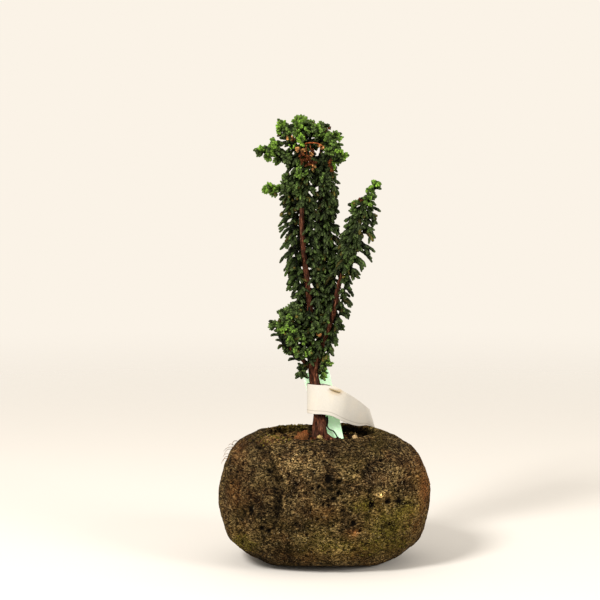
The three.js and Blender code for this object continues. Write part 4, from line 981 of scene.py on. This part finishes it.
BITS = {  # for each shoot's piece, the place, size and freshness (-1 brown, -2 tan) of single small crests
    1: (((-34, -12, 293), 3.4, 0.9),),
    3: (((-26, -12, 298.5), 2.2, -2), ((-23, -12, 297.5), 2.0, -2), ((-21.5, -11, 296), 1.8, -1),
        ((-21, -12, 292.5), 2.4, 1.15), ((-24, -11, 291.5), 2.2, 1.15), ((-12, -12, 303), 3.0, 0.5)),
    4: (((-16.5, -2, 310), 3.9, 0.8), ((-20, -3, 308.5), 3.7, 0.95)),
    5: (((-3, -7, 306), 2.2, 0),),
    6: (((0, -6, 303), 2.0, -1), ((3.5, -5, 305), 2.2, -1), ((4, -10, 299), 3.4, 0.45)),
    7: (((4.2, -8, 279), 2.8, -1), ((3, -8, 281.5), 2.4, -1), ((5.4, -7, 276), 2.2, -1),
        ((10, -9, 289), 3.6, 0.9), ((6, -11, 294), 3.2, 0.5)),
    12: (((25, -6, 255), 2.2, -1), ((36, -3, 267), 4.2, 1.0), ((33, -4, 262), 3.6, 1.0)),
    16: (((-24, -15, 174.5), 3.0, 0.6), ((-31, -12, 164), 3.0, 0.5), ((-17.5, -9, 181), 3.4, 0.05),
         ((-31, -8, 176), 3.4, 0.05)),
    17: (((-28, -16, 167.5), 3.4, 0.65), ((-21.5, -17, 166), 3.2, 0.65)),
    18: (((-24.5, -16, 158), 3.2, 0.65), ((-15, -15, 157), 3.4, 0.6)),
    22: (((30, -9, 262), 4.0, 1.1),),
    23: (((-18, -12, 289), 2.8, -2), ((-16, -12, 285.5), 3.0, -1), ((-10, -12, 282.5), 3.0, -1),
         ((-12.5, -13, 285), 2.8, -1), ((-10, -13, 286.5), 2.2, -2), ((-16, -12, 281), 2.8, -1),
         ((-8.5, -13, 277.5), 2.4, -2), ((-12, -12, 279), 3.0, -1), ((-14, -11, 282), 2.8, -1),
         ((-7, -12, 279.5), 2.6, -1), ((-15, -12, 288.5), 2.2, -2), ((-9, -12, 288.5), 2.2, -1)),
    24: (((-18, -14, 275.5), 2.8, 0.6), ((-14, -14, 274), 2.4, 0.5)),
}


def heading_of(degrees):
    """Level unit vectors for headings in degrees."""
    turn = np.radians(degrees)
    return np.stack([np.cos(turn), np.sin(turn), np.zeros_like(turn)], axis=-1)


def stem_at(stem, height):
    """A stem's centre and radius where its listed points pass a height."""
    points = np.array(STEMS[stem])
    above = np.flatnonzero(points[:, 2] > height)
    i = max(0, min(len(points) - 2, (above[0] if len(above) else 0) - 1))
    place = i + (height - points[i, 2]) / (points[i + 1, 2] - points[i, 2])
    radius = np.interp(place, np.arange(len(points)), points[:, 3])
    return curve_at(points[:, :3], np.array([place]))[0], radius


def twig_path(stem, low, high, heading, out):
    """A slim twig: out from the bark over its first stretches, then up beside the stem."""
    away = heading_of(float(heading))
    points = []
    for i, height in enumerate(np.linspace(low, high, round((high - low) / TWIG["stretch"]) + 1)):
        centre, radius = stem_at(stem, height)
        points.append(centre + away * (radius + ROOT_STAND + out * min(1, i / 2)))
    return np.array(points)


def shoot_path(stem, height, tip):
    """The main cord of one crested shoot: out from the stem, then bent up to its tip."""
    tip = np.array(tip, float)
    base = np.array(STEMS[stem][-1][:3]) if height is None else stem_at(stem, height)[0]
    lead = (tip - base) / np.linalg.norm(tip - base)
    if height is None:
        root = base + lead * 2 * GAP
        bend = (root + tip) / 2
    else:
        heading = lead * (1, 1, 0) / np.linalg.norm(lead[:2])
        root = base + heading * (stem_at(stem, height)[1] + ROOT_STAND)
        span = tip - root
        bend = root + heading * 0.6 * np.linalg.norm(span[:2]) + UP * 0.12 * span[2]
    return bent_path(root, bend, tip, 9)


def along(path, step):
    """Places every so many mm along a path, the direction there, and the share of the length."""
    fine = curve_through(path, 8 * len(path))
    length = length_along(fine)
    where = np.arange(0.6, length[-1], step)
    points, ahead, back = (np.stack([np.interp(where + shift, length, fine[:, k]) for k in range(3)], axis=1)
                           for shift in (0, 0.5, -0.5))
    return points, unit(ahead - back), where / length[-1]


class Sprig:
    """The cords of one leafy piece, kept by their number of rings until they are all shaped at once."""

    def __init__(self, seed):
        self.rng = np.random.default_rng(seed)
        self.made = {}

    def add(self, rings, base, aim, drop, length, radius, root, tip):
        """Cords on base + aim length s + drop s^2, with their radius and their colours at root and tip."""
        self.made.setdefault(rings, []).append((base, aim, drop, length, radius, root, tip))

    def tints(self, count, fresh):
        """Root and tip colour of each cord: dark to fresh green by its freshness, a few olive or dead."""
        rng = self.rng
        shade = 0.5 + 1.0 * rng.random((count, 1)) ** 1.5
        if np.all(np.asarray(fresh) < 0):
            return self.dead_tints(count, np.min(fresh) < -1.5)
        fresh = np.clip(np.broadcast_to(fresh, count) + 0.1 * rng.normal(size=count), 0, 1)[:, None]
        # the dark root is partly painted shade where the cords crowd, the lighter tip partly fresh growth
        root = (TINTS["deep"] * (1 - fresh) + TINTS["fresh"] * 0.6 * fresh) * shade
        middle = TINTS["cord"] * (1 - fresh) + TINTS["fresh"] * fresh
        tip = (0.5 * middle + 0.5 * (TINTS["tip"] * (1 - fresh) + TINTS["bright"] * fresh)) * shade
        pick = rng.random((count, 1))
        tip = np.where(pick < 0.07, TINTS["olive"] * shade, tip)
        dead = pick > 0.998
        return np.where(dead, TINTS["dead"] * 0.2, root), np.where(dead, TINTS["dead"] * 0.5, tip)

    def dead_tints(self, count, tan):
        """Red-brown from the root, tan or darker brown at the tip."""
        shade = 0.25 + 0.9 * self.rng.random((count, 1)) ** 2
        return TINTS["dead"] * 0.14 * shade, (TINTS["tan"] if tan else TINTS["dead"] * 0.5) * shade

    def crest_tints(self, count, fresh):
        """Colours of a crest's lobes: dark where they start and brighter at their round ends, fresh green
        with painted shade at the root and a painted highlight at the end.
        """
        rng = self.rng
        if fresh < 0:
            return self.dead_tints(count, fresh < -1.5)
        fresh = np.clip(fresh + 0.08 * rng.normal(size=count), 0, 1.15)[:, None]
        shade = 0.6 + 0.7 * rng.random((count, 1))
        # painted shade at the lobes' roots, painted highlight at their ends
        root = (TINTS["deep"] * (1 - 0.3 * fresh) + TINTS["fresh"] * 0.16 * fresh) * shade
        bright = 0.4 * TINTS["fresh"] + 0.65 * TINTS["bright"]
        tip = (TINTS["tip"] * (1 - 0.8 * fresh) + bright * fresh) * shade
        return root, np.maximum(tip, 0)

    def twig(self, path, radius, short=0):
        """The bare twig, as a chain of overlapping cords along the path, some short of its end."""
        points, lead = (v[:len(v) - short] for v in along(path, TWIG["links"])[:2])
        count = len(points)
        tint = np.tile(TINTS["deep"], (count, 1))
        self.add(6, points - lead * 0.8, lead, np.zeros((count, 3)), np.full(count, TWIG["link"]),
                 np.full(count, radius), tint, tint * 1.3)

    def feathers(self, base, aim, drop, length, places, size, fresh):
        """Side cords on each cord, in turn left and right, at places along it, forwards and drooping."""
        rng = self.rng
        for i, s in enumerate(places):
            start = base + aim * (length * s)[:, None] + drop * s ** 2
            lead = unit(aim * length[:, None] + 2 * drop * s)
            side = unit(np.cross(lead, UP) + 1e-6) * (1 if i % 2 else -1)
            over = np.cross(side, lead)
            splay = np.radians(FEATHER["splay"] + FEATHER["sway"] * rng.normal(size=(len(base), 1)))
            roll = FEATHER["roll"] * rng.normal(size=(len(base), 1))
            out = unit(lead * np.cos(splay) + (side * np.cos(roll) + over * np.sin(roll)) * np.sin(splay))
            far = size * (0.75 + 0.45 * rng.random(len(base))) * (1 - 0.35 * s)
            self.add(5, start, out, -UP * (FEATHER["drop"] * far)[:, None], far,
                     FEATHER["radius"] + 0.2 * rng.random(len(base)), *self.tints(len(base), fresh))

    def fan(self, centre, lead, size, fresh, count=11):
        """A crest: thick short cords spread in a plane from one point, the middle ones longest."""
        rng = self.rng
        flat = unit(np.cross(lead, rng.normal(size=3) + BACKWARDS))
        turn = np.linspace(-CREST["half_turn"], CREST["half_turn"], count)
        angle = np.radians(turn + CREST["sway"] * rng.normal(size=count))[:, None]
        out = unit(lead * np.cos(angle) + flat * np.sin(angle)
                   + np.cross(lead, flat) * CREST["flat"] * rng.normal(size=(count, 1)))
        far = size * (0.8 + 0.25 * rng.random(count)) * (0.75 + 0.25 * np.cos(angle[:, 0]))
        self.add(4, centre + out * CREST["root"], out, np.zeros((count, 3)), far,
                 np.minimum(CREST["lobe"] * size, 0.85 + 0.25 * rng.random(count)),
                 *self.crest_tints(count, fresh))

    def shaped(self, columns=6):
        """Every cord's mesh: rings that swell in the middle, raised in turn as plaited scales, blunt ends."""
        parts, tints = [], []
        for rings, made in self.made.items():
            base, aim, drop, length, radius, root, tip = (np.concatenate(v) for v in zip(*made))
            count = len(base)
            s = np.linspace(0, 1, rings)
            centre = (base[:, None] + aim[:, None] * (length[:, None] * s)[..., None]
                      + drop[:, None] * (s ** 2)[:, None])
            swell = SCALES["ends"] + (1 - SCALES["ends"]) * np.sin(np.pi * s ** 0.8)
            swell[-1] = SCALES["tip"]
            plait = 1 - 2 * ((np.arange(rings)[:, None] + np.arange(columns)) % 2)
            raised = plait * (1 if rings > 4 else SCALES["on_crests"])
            spread = radius[:, None, None] * (swell[:, None] * (1 + SCALES["raised"] * raised))
            lead = unit(aim[:, None] * length[:, None, None] + 2 * drop[:, None] * s[:, None])
            side = unit(np.cross(lead, UP + 1e-3))
            other = np.cross(lead, side)
            angle = turns_round(columns)
            spoke = (side[:, :, None] * np.cos(angle)[:, None] + other[:, :, None] * np.sin(angle)[:, None])
            points = centre[:, :, None] + spoke * spread[..., None]
            ends = np.stack([centre[:, 0] - lead[:, 0] * 0.2,
                             centre[:, -1] + lead[:, -1] * (0.5 * radius)[:, None]], axis=1)
            vertices = np.concatenate([points.reshape(count, -1, 3), ends], axis=1)
            parts.append((vertices.reshape(-1, 3), closed_faces(rings, columns, count)))
            blend = np.concatenate([np.repeat(s, columns), [0, 1]])[None, :, None]
            # painted highlight: the raised scales and the tip's pole are drawn lighter
            rim = np.concatenate([(1 + 0.4 * raised).ravel(), [1, 1.3]])[None, :, None]
            tints.append(((root[:, None] * (1 - blend) + tip[:, None] * blend) * rim).reshape(-1, 3))
        points, faces = join_parts(parts)
        # the tints carry painted shade inside the dense heads
        return points, faces, {"tint": np.concatenate(tints) * painted_shade_within(points)[:, None]}


def hides_bark(points):
    """Whether any of each cord's points lies in front of a stretch of a stem that shows."""
    hidden = np.zeros(len(points), bool)
    for name, low, high, half_width in BARK_VIEWS:
        stem = np.array(STEMS[name])
        x, y = (np.interp(points[..., 2], stem[:, 2], stem[:, k]) for k in (0, 1))
        level = (points[..., 2] > low) & (points[..., 2] < high)
        hidden |= np.any(level & (np.abs(points[..., 0] - x) < half_width) & (points[..., 1] < y), axis=-1)
    return hidden


def painted_shade_within(points):
    """Painted shade inside each dense head, where little light reaches: 1 less a bell round the head's
    middle.
    """
    light = np.ones(len(points))
    for x, y, z, reach, depth in HEADS:
        away = ((points - (x, y, z)) ** 2).sum(axis=1) / reach ** 2
        light -= depth * np.exp(-away * 1.6)
    return np.clip(light, 0.3, 1)


TURNS = np.array([0, 64, -64, 118, -118, 30, -34])


def leafy_twig(sprig, stem, low, high, heading, out, first, last):
    """A twig set with drooping cords all round, each a parabola out and down, feathered to its tip."""
    path = twig_path(stem, low, high, heading, out)
    sprig.twig(path, TWIG["radius"])
    rng = sprig.rng
    base, _, share = along(path, CORD_SPACING[stem])
    count = len(base)
    turn = TURNS[np.arange(count) % len(TURNS)] + CORD["sway"] * rng.normal(size=count)
    length = (first + (last - first) * share) * (CORD["shortest"] + CORD["longer"] * rng.random(count))
    length = length * np.where(np.abs(turn) > 90, CORD["behind"], 1)
    slope = np.radians(CORD["slope"] + CORD["slope_sway"] * rng.normal(size=count))[:, None]
    aim = heading_of(heading + turn) * np.cos(slope) + UP * np.sin(slope)
    drop = -UP * (CORD["drop"] * length * (0.5 + 0.8 * rng.random(count)))[:, None]
    reach = CORD["reach"] * length
    s = np.linspace(0.2, 1.15, 6)
    points = (base[:, None] + aim[:, None] * (reach[:, None] * s)[..., None]
              + drop[:, None] * (s ** 2)[:, None])
    keep = ~hides_bark(points)
    base, aim, drop, reach = (v[keep] for v in (base, aim, drop, reach))
    radius = CORD["radius"] + 0.2 * rng.random(len(base))
    sprig.add(10, base, aim, drop, reach, radius, *sprig.tints(len(base), 0.05))
    sprig.feathers(base, aim, drop, reach, (0.4, 0.68), CORD["side"], 0.04)


def crested_shoot(sprig, stem, height, tip, fresh, bare):
    """A shoot with thick short cords in twos along it, and crests in turn on its sides towards the tip."""
    path = shoot_path(stem, height, tip)
    sprig.twig(path, 0.9, 2)
    rng = sprig.rng
    base, lead, share = along(path, TWOS["step"])
    leafy = share > bare - 0.3
    base, lead, share = base[leafy], lead[leafy], share[leafy]
    count = len(base)
    for side in (1, -1):
        across = unit(np.cross(lead, UP) + 1e-6) * side
        over = np.cross(across, lead)
        roll = rng.uniform(-1.2, 1.2, size=(count, 1))
        splay = np.radians(TWOS["splay"] + TWOS["sway"] * rng.normal(size=(count, 1)))
        aim = unit(lead * np.cos(splay) + (across * np.cos(roll) + over * np.sin(roll)) * np.sin(splay))
        length = (TWOS["long"] - TWOS["shorter"] * share) * (0.75 + 0.5 * rng.random(count))
        drop = -UP * (TWOS["drop"] * length)[:, None]
        sprig.add(5, base, aim, drop, length, 1.0 + 0.2 * rng.random(count),
                  *sprig.tints(count, fresh * TWOS["fresh"] * share if fresh > 0 else fresh))
        sprig.feathers(base, aim, drop, length, (0.5,), TWOS["side"],
                       fresh * TWOS["side_fresh"] if fresh > 0 else fresh)
    base, lead, _ = along(path, SIDE_CREST["step"])
    for i in range(round(len(base) * bare), len(base) - 1):
        across = unit(np.cross(lead[i], BACKWARDS + 0.5 * rng.normal(size=3))) * (1 if i % 2 else -1)
        out = unit(lead[i] + 1.2 * across)
        sprig.fan(base[i] + out * SIDE_CREST["stand"], out, SIDE_CREST["size"],
                  fresh * rng.choice([0.2, 0.7, 1.05]) if fresh > 0 else fresh)
    span = np.linalg.norm(path[-1] - path[0])
    size = min(TIP_CREST["most"], TIP_CREST["least"] + TIP_CREST["growth"] * span)
    sprig.fan(path[-1] - lead[-1] * TIP_CREST["sunk"] * size, lead[-1], size, fresh, TIP_CREST["lobes"])


def build_foliage(material):
    """One piece for each leafy node, grown from the same roots and to the same tips."""
    for k, shoot in enumerate(SHOOTS, 1):
        sprig = Sprig(299 + k)
        crested_shoot(sprig, *shoot, BARE.get(k, MOST_BARE))
        for further in CROWN.get(k, ()):
            crested_shoot(sprig, *further, CROWN_BARE)
        for place, size, tone in BITS.get(k, ()):
            sprig.fan(np.array(place, float), unit(sprig.rng.normal(size=3)), size, tone, 9)
        finish_piece(add_mesh(f"crested_shoot_{k}_fine", *sprig.shaped()), material,
                     [f"crested_shoot_{k}"])
    for rank, (stem, twigs) in enumerate(TWIGS.items()):
        for k, twig in enumerate(twigs):
            name = f"{stem}_sprays_{k + 1}"
            sprig = Sprig(500 + 40 * rank + k)
            for sleeve in ((stem, *twig), *SLEEVES.get(name, ())):
                leafy_twig(sprig, *sleeve)
            finish_piece(add_mesh(f"{name}_fine", *sprig.shaped()), material, [name])


# ---------------------------------------------------------------- strip, staple, label and wire

TAIL = (((32.4, 27, 103.2), (37.2, 34.6, 86.8)), ((29.2, 19, 106.8), (30.9, 29, 90.9)),
        ((24.7, 11, 111.4), (24.2, 16, 92.8)), ((19.6, 4, 115.8), (18.2, 5, 95.8)),
        ((14.5, -3, 119.7), (12, -3, 99.4)), ((8.1, -6.6, 123.8), (5.4, -6.6, 103.2)))
LOOP = (((1, -7.3, 125), (-0.6, -7.3, 104.6)), ((-6, -6.8, 125.3), (-7, -6.8, 104.8)),
        ((-10.8, -4, 125.5), (-11.2, -4, 105)), ((-12.4, 0.4, 125.5), (-12, 0.4, 105)),
        ((-9.8, 4.4, 125.2), (-9, 4.6, 104.7)), ((-5, 4.9, 124.9), (-3.6, 5, 104.4)),
        ((0.5, 4, 124.5), (1.4, 4.3, 104)), ((4.6, 0.2, 124), (4.2, 1, 103.5)))
PAPER = {"layer": 0.6, "thick": 0.36, "rings": 220, "line": 0.888, "line_half": 0.012, "curl": 0.22}
STAIN = {"strength": 0.75, "wide": 4.6, "tall": 1.7, "lower": 0.6}  # round the staple
STAPLE = {"along": 7.6, "back": 0.58, "wire": 0.35, "leg": 2.2, "below": 2.6, "bend": 0.5, "fuller": 1.15}
LABEL = {"corner": (-15.1, 7, 131.3), "lean": 12, "width": 18.5, "head": 24, "stake": 10.4,
         "length": 62, "point": 9, "thick": 0.8, "round": 1.6, "bevel": 0.14}
WIRE = ((1.6, 3.4, 101.5), (2, 4.4, 98.6), (1.9, 4.9, 94.5), (3.4, 5.2, 92.2), (6.6, 5.2, 90.6),
        (9, 5, 86.5), (9.8, 4.8, 82), (10, 4.6, 76))
TWIST = {"rings": 90, "turn": 3.2, "apart": 0.42, "joined": 8, "closing": 3, "loose": 6.4, "stands_off": 1.25,
         "radius": 0.48, "end_radius": 0.46}  # radians a mm, and lengths along the wire


def build_strip():
    """Both edges of the paper run up the tail, round the trunk and back; rings join them, front and back."""
    stations = np.array([*TAIL, *LOOP], float)
    tail = stations[:len(TAIL)]
    ahead = (stations[1:len(TAIL) + 1] - tail).sum(axis=1)
    shift = -unit(np.cross(tail[:, 0] - tail[:, 1], ahead)) * (PAPER["layer"] + GAP)
    stations = np.concatenate([stations, (tail + shift[:, None])[::-1]])
    place = np.linspace(0, len(stations) - 1, PAPER["rings"])
    high, low = (curve_at(stations[:, side], place) for side in (0, 1))
    out = unit(np.cross(high - low, np.gradient((high + low) / 2, axis=0))) * PAPER["thick"] / 2
    line_at = [PAPER["line"] + PAPER["line_half"] * k for k in (-1, 0, 1)]
    share = np.array([0, 0.01, 0.06, 0.16, 0.3, 0.45, 0.6, 0.75, 0.86, *line_at, 0.94, 0.99, 1])
    sheet = high[:, None] * (1 - share)[:, None] + low[:, None] * share[:, None]
    curl = PAPER["curl"] * np.sin(np.pi * share) * np.sin(place / 1.7)[:, None]
    sheet = sheet + (out * 2 / PAPER["thick"])[:, None] * curl[..., None]
    rings = np.concatenate([sheet + out[:, None], (sheet - out[:, None])[:, ::-1]], axis=1)
    points, faces = closed_grid(rings)
    line = np.zeros(rings.shape[:2])
    line[:, np.argmin(np.abs(share - PAPER["line"]))] = 1
    pin = np.array(TAIL[-1][0]) - UP * STAPLE["below"]
    stain = STAIN["strength"] * np.exp(-(np.abs(rings[..., 0] - pin[0]) / STAIN["wide"]) ** 4
                                       - ((rings[..., 2] - pin[2] + STAIN["lower"]) / STAIN["tall"]) ** 2)
    return add_mesh("paper_strip", points, faces,
                    {"line": np.append(line, [0, 0]), "stain": np.append(stain, [0, 0])})


def build_staple():
    """One bent wire: a leg through the paper, the bar over it and the other leg."""
    high, low = (np.array(p, float) for p in TAIL[-1])
    down = unit(low - high)
    along = unit(np.array(TAIL[-2][0], float) - np.array(LOOP[0][0], float))
    inwards = unit(np.cross(along, down))
    out = PAPER["layer"] / 2 + GAP + STAPLE["wire"]
    start = high + down * STAPLE["below"] - inwards * out
    ends = [start + along * STAPLE["along"] * share for share in (-STAPLE["back"], 1 - STAPLE["back"])]
    leg = inwards * (out + STAPLE["leg"])
    in_bend, along_bend = inwards * STAPLE["bend"], along * STAPLE["bend"]
    corners = [ends[0] + leg, ends[0] + in_bend, ends[0] + along_bend, ends[1] - along_bend,
               ends[1] + in_bend, ends[1] + leg]
    path = np.concatenate([np.linspace(a, b, 7)[:-1] for a, b in zip(corners, corners[1:])] + [[corners[-1]]])
    path[1:-1] = (path[:-2] + 2 * path[1:-1] + path[2:]) / 4
    radius = np.full(len(path), STAPLE["wire"] * STAPLE["fuller"])
    return add_mesh("brass_staple", *closed_grid(tube_grid(path, radius, 10, UP)))


def build_label():
    """The flag-shaped outline, bevelled front and back, leaned about its upper left corner."""
    width, head, stake, point, rounding = (LABEL[k] for k in ("width", "head", "stake", "point", "round"))
    left, end = width - stake, -LABEL["length"]
    turn = np.radians(np.linspace(0, 90, 7))

    def arc(x, y, first):
        """A quarter circle about a point, anticlockwise from an angle in quarter turns."""
        return np.stack([x + rounding * np.cos(turn + first * np.pi / 2),
                         y + rounding * np.sin(turn + first * np.pi / 2)], axis=1)
    flat = np.concatenate([arc(rounding, -rounding, 1), arc(rounding, rounding - head, 2),
                           [[left, -head], [left, point + end], [left + stake / 2, end],
                            [width, point + end]],
                           arc(width - rounding, -rounding, 0)])
    tangent = unit(np.roll(flat, -1, axis=0) - np.roll(flat, 1, axis=0))
    thick, bevel = LABEL["thick"], LABEL["bevel"]
    inset = flat + np.stack([-tangent[:, 1], tangent[:, 0]], axis=1) * bevel
    layers = ((inset, 0), (flat, bevel), (flat, thick - bevel), (inset, thick))
    lean = math.radians(LABEL["lean"])
    rings = np.stack([np.stack([outline[:, 0] * math.cos(lean) - outline[:, 1] * math.sin(lean),
                                np.full(len(outline), depth),
                                outline[:, 0] * math.sin(lean) + outline[:, 1] * math.cos(lean)], axis=1)
                      for outline, depth in layers]) + np.array(LABEL["corner"])
    count = len(flat)
    faces = [grid_faces(4, count)[:, ::-1], np.arange(count)[None],
             np.arange(3 * count, 4 * count)[::-1][None]]
    piece = add_mesh("mint_label", rings.reshape(-1, 3), faces)
    for cap in list(piece.data.polygons)[-2:]:
        cap.use_smooth = False
    return piece


def build_wire():
    """The tie's wire, its free end twisted round it where it leaves the trunk."""
    path = curve_through(WIRE, TWIST["rings"])
    side, other = frames_along(path, BACKWARDS)
    length = length_along(path)
    twist = TWIST["turn"] * length
    apart = TWIST["apart"] * np.clip((TWIST["joined"] - length) / TWIST["closing"], 0, 1)
    spiral = (side * np.cos(twist)[:, None] + other * np.sin(twist)[:, None]) * apart[:, None]
    strand = closed_grid(tube_grid(path + spiral, np.full(len(path), TWIST["radius"]), 9))
    loose = (path - spiral * TWIST["stands_off"])[:np.argmax(length > TWIST["loose"])]
    end = closed_grid(tube_grid(loose, np.full(len(loose), TWIST["end_radius"]), 9))
    return add_mesh("tie_wire", *join_parts([strand, end]))


DEAD_TWIG = ((-13.3, -1.1, 289.8), (-13.4, -8, 293.4), (-9.6, -9.4, 294.2), (-5.4, -9.8, 293.8),
             (-1.8, -9.2, 292))
DEAD_TINT = srgb(160, 84, 44)
HANGING = ((-13.2, 292, 9), (-10.2, 292.5, 7))  # x, top and length of each dead tail in front of it


def build_withered(material):
    """A dead twig across the front of the crown, with curled tan and brown crests."""
    sprig = Sprig(77)
    points, lead, _ = along(curve_through(DEAD_TWIG, 25), 1.2)
    count = len(points)
    tint = np.tile(DEAD_TINT, (count, 1)) * (0.6 + 0.7 * sprig.rng.random((count, 1)))
    sprig.add(5, points - lead * 0.3, lead, np.zeros((count, 3)), np.full(count, 1.9),
              0.42 + 0.15 * sprig.rng.random(count), tint * 0.6, tint)
    for x, top, length in HANGING:
        hang = np.array([[x, -10.5, top]]) + np.arange(4)[:, None] * (0.3, -0.3, -length / 4)
        down = np.tile(unit(np.array([0.1, -0.1, -1])), (4, 1))
        sprig.add(5, hang, down, np.zeros((4, 3)), np.full(4, length / 3.4), np.full(4, 0.36),
                  tint[:4] * 0.25, tint[:4] * 0.6)
    for i, size in ((5, 1.6), (count - 3, 1.8), (count - 1, 2.2)):
        sprig.fan(points[i] - UP * 0.8, unit(lead[i] - UP * 1.4), size, -2, 9)
    finish_piece(add_mesh("dead_twig", *sprig.shaped()), material, ["withered_spray"])


# ---------------------------------------------------------------- assembly

add_camera()
light_studio()

floor = add_mesh("floor", np.array([(x, y, 0) for x, y in ((-1, -1), (1, -1), (1, 1), (-1, 1))]) * FLOOR_HALF,
                 [np.array([[0, 1, 2, 3]])])
floor.data.materials.append(floor_finish())

finish_piece(build_stone(), stone_finish(), ["stone_pot"])
finish_piece(build_soil(), soil_finish(), ["soil"])
finish_piece(build_bark(), bark_finish(), ["trunk"])
cords = foliage_finish()
build_foliage(cords)
build_withered(cords)
finish_piece(build_strip(), paper_finish(), ["name_strip"])
finish_piece(build_label(), label_finish(), ["plant_label"])
finish_piece(build_staple(), plain_finish("dull_brass", srgb(112, 94, 60), srgb(166, 148, 108), 0.5, 0.3),
             ["staple"])
finish_piece(build_wire(), plain_finish("dark_wire", srgb(18, 13, 10), srgb(42, 32, 26), 0.6, 0.2),
             ["anchor_wire"])

mesh_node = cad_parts["drain_mesh"]
mesh_node.data.materials.clear()
mesh_node.data.materials.append(plain_finish("black_mesh", srgb(18, 19, 18), srgb(34, 35, 33), 0.6))
